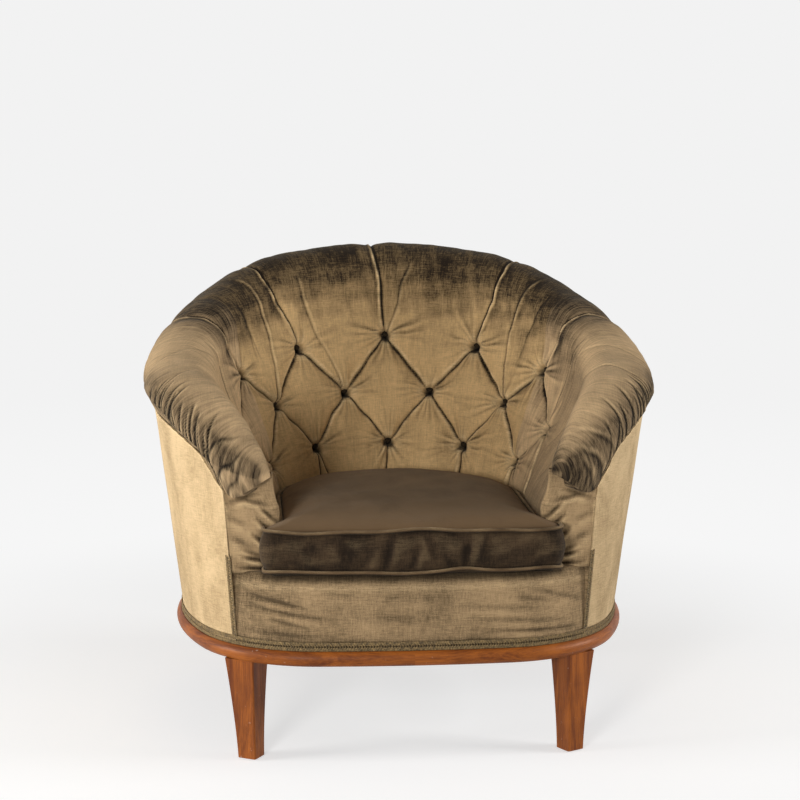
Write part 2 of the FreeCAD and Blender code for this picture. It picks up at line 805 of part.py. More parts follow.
def seat_webbing():
    """Jute webs under the springs, tacked to the underside of the seat rails."""
    webs = []
    inset = -RAIL_INSET - RAIL_THICKNESS + 8.0
    for x in (-140.0, -70.0, 0.0, 70.0, 140.0):
        low_y = chord_end(x, inset, 180.0)
        high_y = chord_end(x, inset, 0.0)
        webs.append(box((x - 0.5 * WEB_WIDTH, low_y, WEB_Z),
                        (x + 0.5 * WEB_WIDTH, high_y, WEB_Z + WEB_THICKNESS)))
    for y in (-250.0, -180.0, -110.0, -40.0, 30.0, 100.0, 170.0):
        reach = chord_side(y, inset)
        webs.append(box((-reach, y - 0.5 * WEB_WIDTH, WEB_Z + WEB_THICKNESS),
                        (reach, y + 0.5 * WEB_WIDTH, WEB_Z + 2.0 * WEB_THICKNESS)))
    return webs


def chord_end(x, inset, start):
    """Where a web of the seat ends on the rails at a distance from the middle."""
    best = None
    for step in range(0, 91):
        heading = abs(start - step)
        px, py = rim_point(heading, inset)
        if px >= abs(x) + 0.5 * WEB_WIDTH:
            best = py
            break
    return best


def chord_side(y, inset):
    """Half length of a cross web of the seat."""
    reach = 1e9
    for edge in (y - 0.5 * WEB_WIDTH, y + 0.5 * WEB_WIDTH):
        for step in range(0, 181):
            px, py = rim_point(float(step), inset)
            if py <= edge:
                reach = min(reach, px)
                break
    return reach


SPRING_TURNS = 5
SPRING_WIRE = 1.9
SPRING_END_RADIUS = 34.0
SPRING_WAIST_RADIUS = 24.0
SPRING_LOW = RIM_TOP + SPRING_WIRE + 0.3
SPRING_HIGH = SEAT_RAIL_TOP - 3.8
SPRING_XS = (-105.0, 0.0, 105.0)
SPRING_YS = (-225.0, -115.0, -5.0)


def coil_point(t):
    """Point and direction of an hourglass coil; t runs from 0 at the foot to 1 at the top."""
    turn = 2.0 * math.pi * SPRING_TURNS * t
    waist = math.sin(math.pi * t)
    radius = SPRING_END_RADIUS - (SPRING_END_RADIUS - SPRING_WAIST_RADIUS) * waist
    rise = SPRING_HIGH - SPRING_LOW
    narrowing = -(SPRING_END_RADIUS - SPRING_WAIST_RADIUS) * math.pi * math.cos(math.pi * t)
    spin = 2.0 * math.pi * SPRING_TURNS
    point = vec(radius * math.cos(turn), radius * math.sin(turn), SPRING_LOW + rise * t)
    way = vec(narrowing * math.cos(turn) - radius * spin * math.sin(turn),
              narrowing * math.sin(turn) + radius * spin * math.cos(turn), rise)
    way.normalize()
    return point, way


def arc_from(start, way, end):
    """Arc that leaves start in a direction and ends at a point."""
    chord = end.sub(start)
    aside = chord.sub(vec(way.x, way.y, way.z).multiply(chord.dot(way)))
    height = aside.Length
    aside.normalize()
    radius = chord.Length ** 2 / (2.0 * height)
    centre = start.add(vec(aside.x, aside.y, aside.z).multiply(radius))
    middle = start.add(end).multiply(0.5).sub(centre)
    middle.normalize()
    through = centre.add(middle.multiply(radius))
    return Part.Arc(start, through, end).toShape()


def biarc(start, start_way, end, end_way):
    """Two arcs that meet smoothly between two points with given directions."""
    chord = end.sub(start)
    both = start_way.add(end_way)
    a = 2.0 * (1.0 - start_way.dot(end_way))
    b = 2.0 * chord.dot(both)
    c = -chord.dot(chord)
    reach = (-b + math.sqrt(b * b - 4.0 * a * c)) / (2.0 * a)
    first = start.add(vec(start_way.x, start_way.y, start_way.z).multiply(reach))
    second = end.sub(vec(end_way.x, end_way.y, end_way.z).multiply(reach))
    meeting = first.add(second).multiply(0.5)
    back = vec(-end_way.x, -end_way.y, -end_way.z)
    return [arc_from(start, start_way, meeting), arc_from(end, back, meeting)]


def coil_spring():
    """One hourglass seat spring as an unbroken wire, with its gap between turns printed."""
    quarters = SPRING_TURNS * 4
    edges = []
    for i in range(quarters):
        start, start_way = coil_point(i / quarters)
        end, end_way = coil_point((i + 1) / quarters)
        edges.extend(biarc(start, start_way, end, end_way))
    path = Part.Wire(Part.__sortEdges__(edges))
    start, start_way = coil_point(0.0)
    ring = Part.Wire(Part.makeCircle(SPRING_WIRE, start, start_way))
    spring = path.makePipeShell([ring], True, False)
    gap = 1e9
    samples = 40 * SPRING_TURNS
    for i in range(samples - 40):
        first, way = coil_point(i / samples)
        for j in range(i + 20, samples + 1):
            second, way = coil_point(j / samples)
            gap = min(gap, first.sub(second).Length - 2.0 * SPRING_WIRE)
    print("seat spring: least gap between turns", round(gap, 2), "mm")
    return spring


def seat_springs():
    spring = coil_spring()
    placed = []
    for x in SPRING_XS:
        for y in SPRING_YS:
            copy = spring.copy()
            copy.translate(vec(x, y, 0))
            placed.append(copy)
    return placed


def seat_outline(z, front_offset):
    """Flat outline inside the tub: straight sides and a round back, wider in front of the arms."""
    half = SEAT_HALF_WIDTH - 2.0
    back_of_arm = FACING_FRONT - 1.0
    front_half = 262.0
    centre = vec(0, SEAT_ROUND_Y, z)
    x, y = rim_point(180.0, front_offset)
    return Part.Wire([
        line(vec(half, SEAT_ROUND_Y, z), vec(half, back_of_arm, z)),
        line(vec(half, back_of_arm, z), vec(front_half, back_of_arm, z)),
        arc(vec(front_half, back_of_arm, z), vec(0.62 * front_half, y + 14.0, z), vec(0, y, z)),
        arc(vec(0, y, z), vec(-0.62 * front_half, y + 14.0, z), vec(-front_half, back_of_arm, z)),
        line(vec(-front_half, back_of_arm, z), vec(-half, back_of_arm, z)),
        line(vec(-half, back_of_arm, z), vec(-half, SEAT_ROUND_Y, z)),
        arc(vec(-half, SEAT_ROUND_Y, z), centre.add(vec(0, half, 0)), vec(half, SEAT_ROUND_Y, z)),
    ])


def deck_cover():
    """Cloth of the seat under the cushion, out to the rounded top of the apron."""
    return Part.Face(seat_outline(DECK_TOP - COVER, -22.0)).extrude(vec(0, 0, COVER))


def deck_padding():
    """Stuffing over the springs, between the arms."""
    low = SEAT_RAIL_TOP + 0.2
    half = SEAT_HALF_WIDTH - 2.0
    front = -330.0
    outline = Part.Wire([
        line(vec(half, SEAT_ROUND_Y, low), vec(half, front, low)),
        line(vec(half, front, low), vec(-half, front, low)),
        line(vec(-half, front, low), vec(-half, SEAT_ROUND_Y, low)),
        arc(vec(-half, SEAT_ROUND_Y, low), vec(0, SEAT_ROUND_Y + half, low), vec(half, SEAT_ROUND_Y, low)),
    ])
    whole = Part.Face(outline).extrude(vec(0, 0, DECK_TOP - COVER - 0.3 - low))
    return largest(whole.cut(front_border_roll()))


def spring_hessian():
    """Sacking stretched over the springs."""
    half = SEAT_HALF_WIDTH - 16.0
    return box((-half, -300.0, SEAT_RAIL_TOP - 1.4), (half, 90.0, SEAT_RAIL_TOP - 0.2))


def corner_blocks():
    """Glued blocks inside the four corners of the seat frame."""
    blocks = []
    depth = 62.0
    for heading in (REAR_MITRE, FRONT_MITRE):
        inset = -RAIL_INSET - RAIL_THICKNESS - 1.0
        x, y = rim_point(heading, inset)
        turn = math.radians(heading)
        out = vec(math.sin(turn), math.cos(turn), 0)
        along = vec(math.cos(turn), -math.sin(turn), 0)
        middle = vec(x, y, RIM_TOP + 4.0)
        tip = vec(out.x, out.y, 0).multiply(-4.0)
        deep = vec(out.x, out.y, 0).multiply(-0.5 * depth)
        wide = vec(along.x, along.y, 0).multiply(0.5 * depth)
        points = [middle.add(tip).add(wide), middle.add(deep), middle.add(tip).sub(wide)]
        blocks.append(prism(points, vec(0, 0, 60.0)))
        blocks.append(mirrored(prism(points, vec(0, 0, 60.0))))
    return blocks


def dust_cover():
    """Black cambric that closes the underside inside the rim."""
    low = WEB_Z - 1.4
    right = []
    for cx, cy, radius, start, end in ARCS:
        reach = -34.6
        x0, y0 = rim_point(start, reach)
        x1, y1 = rim_point(0.5 * (start + end), reach)
        x2, y2 = rim_point(end, reach)
        right.append(((x0, y0), (x1, y1), (x2, y2)))
    edges = []
    for first, middle, last in right:
        edges.append(arc(vec(first[0], first[1], low), vec(middle[0], middle[1], low),
                         vec(last[0], last[1], low)))
    for first, middle, last in reversed(right):
        edges.append(arc(vec(-last[0], last[1], low), vec(-middle[0], middle[1], low),
                         vec(-first[0], first[1], low)))
    return Part.Face(Part.Wire(edges)).extrude(vec(0, 0, 1.0))


SCREW_HEADINGS = (0.0, 22.0, 68.0, 92.0, 115.0, 158.0, 180.0)
SCREW_INSET = -25.0
SCREW_RADIUS = 2.0
SCREW_HEAD_RADIUS = 4.0
SCREW_HEAD = 2.5
SCREW_LENGTH = 34.0
SCREW_START = LEG_HEIGHT + 6.0


def rim_screws(play):
    """Screws up through the rim into the seat rails, or their holes."""
    screws = []
    for heading in SCREW_HEADINGS:
        x, y = rim_point(heading, SCREW_INSET)
        sides = (1.0,) if heading in (0.0, 180.0) else (-1.0, 1.0)
        for side in sides:
            foot = vec(side * x, y, SCREW_START)
            shank = Part.makeCylinder(SCREW_RADIUS + play, SCREW_LENGTH, foot)
            head = Part.makeCylinder(SCREW_HEAD_RADIUS + play, SCREW_HEAD, foot)
            screws.append(shank.fuse(head).removeSplitter())
    return screws


def drilled(piece, holes):
    """A wooden piece with the holes for its fasteners."""
    for hole in holes:
        if piece.BoundBox.intersect(hole.BoundBox):
            piece = largest(piece.cut(hole))
    return piece


# Loose cushion

def cushion_wire(z, scale, inset, ear_share):
    """Outline of the cushion at a height: two ears in front of the arms, bowed front, round back.

    inset moves the outline inwards, scale draws it in towards its middle, and ear_share says
    how much of the ears is left.
    """
    half = CUSHION_HALF_WIDTH - inset
    ear = half + (CUSHION_EAR_HALF_WIDTH - CUSHION_HALF_WIDTH) * ear_share
    front = CUSHION_FRONT + inset
    ear_back = CUSHION_EAR_BACK - inset
    back = CUSHION_BACK - inset
    corner = CUSHION_CORNER
    small = CUSHION_EAR_CORNER
    round_y = back - half
    middle_y = 0.5 * (front + back)
    s = math.sqrt(0.5)
    turn = math.radians(CUSHION_FRONT_TURN)
    half_turn = 0.5 * (0.5 * math.pi - turn)
    corner_x = ear - corner
    corner_y = front + corner
    end = (corner_x + corner * math.sin(turn), corner_y - corner * math.cos(turn))
    through = (corner_x + corner * math.cos(half_turn), corner_y - corner * math.sin(half_turn))
    bow = (0.0, end[1] - end[0] * math.tan(0.5 * turn))
    concave = (half + small * (1.0 - s), ear_back + small * (1.0 - s))
    convex = (ear - small * (1.0 - s), ear_back - small * (1.0 - s))
    right = [
        ((half, round_y), None, (half, ear_back + small)),
        ((half, ear_back + small), concave, (half + small, ear_back)),
        ((half + small, ear_back), None, (ear - small, ear_back)),
        ((ear - small, ear_back), convex, (ear, ear_back - small)),
        ((ear, ear_back - small), None, (ear, corner_y)),
        ((ear, corner_y), through, end),
    ]

    def spot(point, side):
        return vec(side * point[0] * scale, middle_y + (point[1] - middle_y) * scale, z)

    def edge(a, middle, b, side):
        if middle is None:
            return line(spot(a, side), spot(b, side))
        return arc(spot(a, side), spot(middle, side), spot(b, side))

    edges = [edge(a, middle, b, 1.0) for a, middle, b in right]
    edges.append(arc(spot(end, 1.0), spot(bow, 1.0), spot(end, -1.0)))
    edges.extend(edge(b, middle, a, -1.0) for a, middle, b in reversed(right))
    rear = (half * s, round_y + half * s)
    edges.append(arc(spot((half, round_y), -1.0), spot(rear, -1.0), spot((0.0, back), 1.0)))
    edges.append(arc(spot((0.0, back), 1.0), spot(rear, 1.0), spot((half, round_y), 1.0)))
    return Part.Wire(edges)


# Share of the crown's height, share of the outline and share of the ears at each level of the crown
CROWN_STEPS = ((0.0, 1.0, 1.0), (0.3, 0.955, 0.55), (0.56, 0.89, 0.42), (0.78, 0.78, 0.36),
               (0.92, 0.62, 0.34), (0.985, 0.42, 0.33), (1.0, 0.2, 0.33))


def crown_solid(base, inset, drop):
    """Domed solid above the upper seam, lower by a drop for the filling under the cloth."""
    wires = []
    for rise, scale, ear_share in CROWN_STEPS:
        z = base + (CUSHION_CROWN - drop) * rise
        wires.append(cushion_wire(z, scale, inset, ear_share))
    return loft(wires, False)


def cushion_top():
    """Crowned top panel of the cushion."""
    outer = crown_solid(CUSHION_SEAM_HIGH, 0.0, 0.0)
    inner = crown_solid(CUSHION_SEAM_HIGH - 0.01, 4.0, 3.0)
    return largest(outer.cut(inner))


def boxing_solid(inset, low, high):
    """Side band of the cushion, drawn in between its two seams."""
    middle = 0.5 * (low + high)
    return loft([cushion_wire(low, 1.0, inset, 1.0),
                 cushion_wire(middle, 1.0, inset + CUSHION_DRAWN_IN, 1.0),
                 cushion_wire(high, 1.0, inset, 1.0)], False)


def cushion_boxing():
    outer = boxing_solid(0.0, CUSHION_SEAM_LOW, CUSHION_SEAM_HIGH)
    inner = boxing_solid(COVER, CUSHION_SEAM_LOW, CUSHION_SEAM_HIGH)
    return outer.cut(inner)


def cushion_bottom():
    """Flat bottom panel of the cushion."""
    height = CUSHION_SEAM_LOW - CUSHION_BOTTOM
    return loft([cushion_wire(CUSHION_BOTTOM, 1.0, 5.0, 1.0),
                 cushion_wire(CUSHION_BOTTOM + 0.6 * height, 1.0, 1.2, 1.0),
                 cushion_wire(CUSHION_SEAM_LOW, 1.0, 0.0, 1.0)], True)


def cushion_filling():
    """Feather filling inside the cover."""
    band = boxing_solid(COVER + FIT, CUSHION_SEAM_LOW + 0.3, CUSHION_SEAM_HIGH - 0.3)
    crown = crown_solid(CUSHION_SEAM_HIGH - 0.3, COVER + FIT + 4.0, 11.0)
    return largest(band.fuse(crown).cut(cushion_top()))


def piping(z):
    """Piped edge sewn into a seam of the cushion, a round cord under cloth."""
    path = cushion_wire(z, 1.0, -PIPING_RADIUS - 0.9, 1.0)
    start = path.Edges[0].Vertexes[0].Point
    way = path.Edges[0].tangentAt(path.Edges[0].FirstParameter)
    ring = Part.Wire(Part.makeCircle(PIPING_RADIUS, start, way))
    return path.makePipeShell([ring], True, False)


def export(name, shape):
    """Writes one piece, or a group of separate pieces."""
    if isinstance(shape, list):
        shape = Part.makeCompound(shape)
    state = "valid" if shape.isValid() else "NOT VALID"
    print(name, len(shape.Solids), "solids", round(shape.Volume / 1000.0, 1), "cm3", state)
    shape.exportStep("parts/" + name + ".step")
    PIECES.append(shape)


PIECES = []


def main():
    holes = leg_bolts(HOLE_PLAY) + rim_screws(HOLE_PLAY)
    front_leg = drilled(leg(FRONT_LEG_TOP_XY, FRONT_LEG_FOOT_XY, FRONT_LEG_TURN), holes)
    rear_leg = drilled(leg(REAR_LEG_TOP_XY, REAR_LEG_FOOT_XY, REAR_LEG_TURN), holes)
    export("front_leg_right", front_leg)
    export("front_leg_left", mirrored(front_leg))
    export("rear_leg_right", rear_leg)
    export("rear_leg_left", mirrored(rear_leg))
    export("leg_glides", glides())

    export("leg_bolts", leg_bolts(0.0))
    export("rim_screws", rim_screws(0.0))

    back, right, front, left = [drilled(length, holes) for length in rim_pieces(rim_profile())]
    export("rim_back", back)
    export("rim_right", right)
    export("rim_front", front)
    export("rim_left", left)
    rail = rectangle_section(-RAIL_INSET - RAIL_THICKNESS, -RAIL_INSET - 0.5, RIM_TOP, SEAT_RAIL_TOP)
    back, right, front, left = [drilled(length, holes) for length in rim_pieces(rail)]
    export("seat_rail_back", back)
    export("seat_rail_right", right)
    export("seat_rail_front", front)
    export("seat_rail_left", left)
    export("corner_blocks", corner_blocks())

    back_rail = layer(top_rail_section, both_sides(LAYER_ANGLES))
    arm_rail = layer(top_rail_section, ARM_LAYER_ANGLES)
    export("back_top_rail", back_rail)
    export("arm_rail_right", arm_rail)
    export("arm_rail_left", mirrored(arm_rail))
    back_post = post(40.0, back_rail)
    side_post = post(80.0, arm_rail)
    arm_post = post(114.0, arm_rail)
    export("back_post_right", back_post)
    export("back_post_left", mirrored(back_post))
    export("side_post_right", side_post)
    export("side_post_left", mirrored(side_post))
    export("arm_post_right", arm_post)
    export("arm_post_left", mirrored(arm_post))

    export("seat_webbing", seat_webbing())
    export("seat_springs", seat_springs())
    export("spring_hessian", spring_hessian())
    export("deck_padding", deck_padding())
    export("deck_cover", deck_cover())
    export("front_border_roll", front_border_roll())
    export("front_apron", front_apron())
    facing = arm_facing()
    export("arm_facing_right", facing)
    export("arm_facing_left", mirrored(facing))

    export("inside_back_cover", inside_back_cover())
    arm_cover = inside_arm_cover()
    export("inside_arm_cover_right", arm_cover)
    export("inside_arm_cover_left", mirrored(arm_cover))
    export("buttons", buttons())
    padding = layer(padding_section, ARM_LAYER_ANGLES)
    export("back_padding", layer(padding_section, both_sides(LAYER_ANGLES)))
    export("arm_padding_right", padding)
    export("arm_padding_left", mirrored(padding))
    edge_roll = layer(roll_section, ARM_LAYER_ANGLES)
    export("back_edge_roll", layer(roll_section, both_sides(LAYER_ANGLES)))
    export("arm_edge_roll_right", edge_roll)
    export("arm_edge_roll_left", mirrored(edge_roll))
    export("back_webbing", back_webbing())

    outside = layer(outside_section, OUTSIDE_ARM_ANGLES)
    export("outside_back_cover", layer(outside_section, both_sides(OUTSIDE_BACK_ANGLES)))
    export("outside_arm_cover_right", outside)
    export("outside_arm_cover_left", mirrored(outside))
    export("base_gimp", base_gimp())
    braid = side_gimp()
    export("side_gimp_right", braid)
    export("side_gimp_left", mirrored(braid))
    export("dust_cover", dust_cover())

    export("cushion_top", cushion_top())
    export("cushion_boxing", cushion_boxing())
    export("cushion_bottom", cushion_bottom())
    export("cushion_filling", cushion_filling())
    export("cushion_piping_top", piping(CUSHION_SEAM_HIGH))
    export("cushion_piping_bottom", piping(CUSHION_SEAM_LOW))

    whole = Part.makeCompound(PIECES).BoundBox
    print("box", whole.XMin, whole.XMax, whole.YMin, whole.YMax, whole.ZMin, whole.ZMax)


main()
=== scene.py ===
import json
import math
import random

import bpy
import numpy as np
from mathutils import Matrix, Vector


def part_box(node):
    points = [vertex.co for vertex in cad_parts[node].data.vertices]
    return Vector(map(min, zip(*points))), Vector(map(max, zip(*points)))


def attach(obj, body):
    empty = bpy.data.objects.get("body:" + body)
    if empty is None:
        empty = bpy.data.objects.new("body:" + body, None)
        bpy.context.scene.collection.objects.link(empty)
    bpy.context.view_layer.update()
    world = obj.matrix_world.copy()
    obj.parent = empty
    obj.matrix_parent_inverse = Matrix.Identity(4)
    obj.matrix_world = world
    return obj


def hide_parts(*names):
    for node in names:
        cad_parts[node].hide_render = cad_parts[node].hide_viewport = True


bl_info = {
    "name": "Buttoned club chair",
    "version": (1, 0, 0),
    "blender": (4, 5, 0),
    "location": "View3D > Sidebar > Club chair",
    "description": "Builds the velvet, piping, braid and wood of a tub shaped club chair",
    "category": "Object",
}

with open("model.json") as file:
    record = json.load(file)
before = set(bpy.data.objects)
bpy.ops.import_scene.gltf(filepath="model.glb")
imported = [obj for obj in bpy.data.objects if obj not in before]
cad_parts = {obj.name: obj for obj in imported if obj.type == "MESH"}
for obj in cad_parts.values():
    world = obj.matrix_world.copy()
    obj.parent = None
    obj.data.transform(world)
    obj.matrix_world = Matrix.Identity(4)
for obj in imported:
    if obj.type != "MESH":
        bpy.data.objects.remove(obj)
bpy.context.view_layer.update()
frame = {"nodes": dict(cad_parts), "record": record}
bpy.ops.object.select_all(action="DESELECT")

MM = 0.001

# The tub is described round an upright axis. Angles run from the middle of the back, in degrees,
# and lengths are in millimetres, as in the chair's construction.
AXIS_Y = -88.87
RIM_TOP = 178.0
APRON_TOP = 292.4
DECK_TOP = 295.5
SEAT_HALF_WIDTH = 206.0
SEAT_ROUND_Y = -55.0
SIDE_SEAM = 128.0
BACK_SEAM = 59.0
ARM_END = 135.5
# Lower edge of the buttoned inside, and the height up to which it stands upright
TUCK_Z = 285.0
UPRIGHT_TO = 355.0
# How far the rolls go on past the end of the arms, and in how many columns
NOSE = 5.0
NOSE_COLUMNS = 10
# Rim outline: its reach at the back, then radius and turn of its arcs, and where the covers stand on it
RIM_BACK = 437.6
RIM_ARCS = ((366.5, 83.9), (518.0, 28.9), (211.0, 63.1))
COVER_OFFSET = -7.5
# How far the upper edge of the outside cover lies inside and below the under edge of the roll
UNDER_GAP = 1.5
UNDER_DROP = 1.4
# Millimetres to a degree, for patterns that run round the tub
DEGREE = 5.2

STATIONS = np.array((0.0, 30.0, 60.0, 90.0, 108.0, 120.0, 131.0, 133.5, 135.5))
SECTIONS = {
    "shoulder_r": (338.0, 330.0, 308.0, 297.0, 290.0, 288.0, 297.0, 302.0, 309.0),
    "shoulder_z": (690.0, 672.0, 615.0, 545.0, 515.0, 480.0, 450.0, 446.0, 441.0),
    "crest_r": (400.0, 390.0, 365.0, 352.0, 340.0, 326.0, 322.0, 324.0, 328.0),
    "crest_z": (764.0, 745.0, 679.0, 603.0, 577.0, 544.0, 492.0, 479.0, 461.0),
    "outer_r": (462.0, 452.0, 430.0, 418.0, 408.0, 392.0, 366.0, 356.0, 344.0),
    "outer_z": (705.0, 688.0, 630.0, 560.0, 532.0, 492.0, 440.0, 438.0, 439.0),
    "under_r": (450.0, 441.0, 418.0, 402.0, 394.0, 381.0, 362.0, 353.0, 341.0),
    "under_z": (655.0, 640.0, 590.0, 525.0, 508.0, 478.0, 412.0, 420.0, 431.0),
}

BUTTON_STEP = 29.5
UPPER_ROW = (603.0, 586.0, 556.0)
MIDDLE_ROW = (507.0, 496.0, 465.0)
LOWER_ROW = (419.0, 416.0, 402.0)


def length(name, description, default, low, high):
    """A size that a user would change."""
    return bpy.props.FloatProperty(name=name, description=description, default=default,
                                   min=low, max=high, unit="LENGTH")


def tint(name, description, *default):
    """A colour that a user would change, as a display shows it."""
    return bpy.props.FloatVectorProperty(name=name, description=description, default=default,
                                         subtype="COLOR_GAMMA", min=0, max=1)


class ChairSizes(bpy.types.PropertyGroup):
    """Sizes of the chair's soft detail."""
    button_pit: length("Button depth", "How deep a button is pulled into the stuffing",
                       0.026, 0.005, 0.03)
    button_radius: length("Button radius", "Radius of a covered button", 0.0068, 0.004, 0.0085)
    pleat_depth: length("Pleat depth", "Depth of the folded pleats between two buttons",
                        0.0145, 0.002, 0.02)
    roll_pleat_depth: length("Roll pleat depth", "Depth of the pleats that run over the roll",
                             0.0085, 0.001, 0.012)
    gather_depth: length("Gather depth", "Depth of the gathers where the roll meets the outside cover",
                         0.0052, 0.0, 0.008)
    piping_radius: length("Piping radius", "Radius of the piped edge of the cushion",
                          0.0030, 0.001, 0.0032)
    cloth_thickness: length("Velvet thickness", "Thickness of the velvet with its backing",
                            0.0022, 0.001, 0.0024)
    gimp_pitch: length("Gimp pitch", "Distance between two stitches of the woven braid",
                       0.0042, 0.002, 0.01)


class ChairColours(bpy.types.PropertyGroup):
    """Colours of the chair's velvet, wood and braid."""
    # The light and dark tones of the inside, arms, front and cushion are the lit and shaded ends of the
    # painted shade that each piece's values mix between; the outside's two tones are mostly its
    # uncrushed and crushed pile.
    inside_light: tint("Inside, lit pile", "Buttoned velvet where the pile faces the light",
                       0.89, 0.745, 0.53)
    inside_dark: tint("Inside, shaded pile", "Buttoned velvet in painted shade",
                      0.125, 0.09, 0.058)
    arms_light: tint("Arms, lit pile", "Rolls of the arms where the pile faces the light",
                     0.89, 0.755, 0.575)
    arms_dark: tint("Arms, shaded pile", "Rolls of the arms in painted shade",
                    0.115, 0.085, 0.056)
    outside_light: tint("Outside, pile up", "Outside cover where the pile faces the light",
                        0.84, 0.73, 0.56)
    outside_dark: tint("Outside, pile down", "Outside cover where the pile is crushed",
                       0.55, 0.45, 0.31)
    front_light: tint("Front, lit pile", "Apron and arm fronts where the pile faces the light",
                      0.72, 0.605, 0.45)
    front_dark: tint("Front, shaded pile", "Apron and arm fronts in crushed pile and painted shade",
                     0.34, 0.28, 0.20)
    cushion_light: tint("Cushion, lit pile", "Seat cushion where the pile faces the light",
                        0.46, 0.365, 0.26)
    cushion_dark: tint("Cushion, shaded pile", "Seat cushion in painted shade",
                       0.13, 0.095, 0.062)
    # The rubbed pile colour also serves for painted highlights along ridges, lips and the top of the
    # piping.
    worn_and_highlight: tint("Rubbed and highlighted pile", "Edges and ridges where the pile has rubbed away, and painted highlights", 0.97, 0.85, 0.65)
    wood_light: tint("Wood, light grain", "Light grain of the polished wood", 0.66, 0.37, 0.12)
    wood_dark: tint("Wood, dark grain", "Dark grain of the polished wood", 0.36, 0.16, 0.035)
    braid: tint("Braid", "Woven gimp along the rim and the side seams", 0.60, 0.50, 0.33)


def sizes():
    return bpy.context.scene.chair_sizes


def colours():
    return bpy.context.scene.chair_colours


def linear(colour):
    """A display colour as the linear value that a shader takes."""
    return tuple(c / 12.92 if c <= 0.04045 else ((c + 0.055) / 1.055) ** 2.4 for c in colour) + (1.0,)


# Curves and lines

def unit(values):
    """Values kept between nought and one."""
    return np.clip(values, 0.0, 1.0)


def eased(share):
    """A share from nought to one that starts and ends gently."""
    return share * share * (3.0 - 2.0 * share)


def bell(values, middle, width):
    """One at the middle, fading away on both sides."""
    return np.exp(-((values - middle) / width) ** 2)


def way_along(line):
    """Distance of each place of a line from its start."""
    return np.concatenate(([0.0], np.cumsum(np.hypot(*np.diff(line, axis=0).T))))


def closed(loop):
    """A loop with its first row once more at its end."""
    return np.vstack((loop, loop[:1]))


def loop_outward(loop):
    """Unit vectors that point out of a loop of places."""
    after = np.roll(loop, -1, axis=0) - np.roll(loop, 1, axis=0)
    out = np.stack((-after[:, 1], after[:, 0]), -1)
    return out / np.linalg.norm(out, axis=1, keepdims=True)


def grid_normals(points):
    """Unit normals of a grid of places."""
    normal = np.cross(np.gradient(points, axis=1), np.gradient(points, axis=0))
    return normal / np.maximum(np.linalg.norm(normal, axis=-1, keepdims=True), 1e-12)


def waves(u, v, seed, count, longest):
    """Slow random undulation from a few sines, the same every run."""
    draw = random.Random(seed)
    total = np.zeros(np.broadcast(u, v).shape)
    for i in range(count):
        length = longest / (1.0 + 0.6 * i)
        heading = draw.uniform(0.0, math.pi)
        phase = draw.uniform(0.0, 2.0 * math.pi)
        total = total + np.sin((u * math.cos(heading) + v * math.sin(heading)) * 2.0 * math.pi / length
                               + phase) / (1.0 + 0.5 * i)
    return total / count


def creases(u, v, folds):
    """Depth of soft creases. Each fold is a start, an end, a depth and a width."""
    depth = np.zeros(u.shape)
    for x0, z0, x1, z1, deep, width in folds:
        ex, ez = x1 - x0, z1 - z0
        t = unit(((u - x0) * ex + (v - z0) * ez) / (ex * ex + ez * ez))
        d = np.hypot(u - x0 - ex * t, v - z0 - ez * t)
        side = np.sign((u - x0) * ez - (v - z0) * ex)
        taper = np.sin(math.pi * np.clip(t, 0.04, 0.96)) ** 0.7
        beside = 0.45 * bell(d, 1.7 * width, width) * (side > 0)
        depth = depth + taper * deep * (bell(d, 0.0, width) - beside)
    return depth


# Shape of the tub

def slopes(values):
    """Slope at every station: none where the curve turns back, else the harmonic mean."""
    steps = np.diff(values) / np.diff(STATIONS)
    before, after = steps[:-1], steps[1:]
    both = before * after > 0.0
    total = np.where(both, before + after, 1.0)
    inner = np.where(both, 2.0 * before * after / total, 0.0)
    return np.concatenate(([0.0], inner, [steps[-1]]))


def station(name, angle):
    """A section dimension at any angle, on a smooth curve through the stations."""
    values = np.array(SECTIONS[name])
    slope = slopes(values)
    at = np.clip(np.abs(angle), 0.0, STATIONS[-1])
    i = np.clip(np.searchsorted(STATIONS, at) - 1, 0, len(values) - 2)
    span = STATIONS[i + 1] - STATIONS[i]
    t = (at - STATIONS[i]) / span
    bend = t * (1.0 - t) * (slope[i] * (1.0 - t) - slope[i + 1] * t) * span
    return values[i] + (values[i + 1] - values[i]) * eased(t) + bend


def seat_edge(angle):
    """Radius of the inside of the tub at seat level."""
    turn = np.radians(np.abs(angle))
    shift = SEAT_ROUND_Y - AXIS_Y
    corner = math.degrees(math.atan2(SEAT_HALF_WIDTH, shift))
    flank = SEAT_HALF_WIDTH / np.maximum(np.sin(turn), 0.1)
    reach = np.sqrt(np.maximum(SEAT_HALF_WIDTH ** 2 - (shift * np.sin(turn)) ** 2, 0.0))
    return np.where(np.abs(angle) >= corner, flank, shift * np.cos(turn) + reach)


def inside_radius(angle, z):
    """Radius of the stuffed inside: upright beside the cushion, then leaning back."""
    low = seat_edge(angle)
    t = unit((z - UPRIGHT_TO) / (station("shoulder_z", angle) - UPRIGHT_TO))
    return low + (station("shoulder_r", angle) - low) * 0.5 * (t + eased(t))


def place(radius, angle, z):
    """Points at a radius and an angle round the tub's axis, in metres."""
    turn = np.radians(angle)
    x = radius * np.sin(turn)
    y = AXIS_Y + radius * np.cos(turn)
    return np.stack(np.broadcast_arrays(x, y, z), -1) * MM


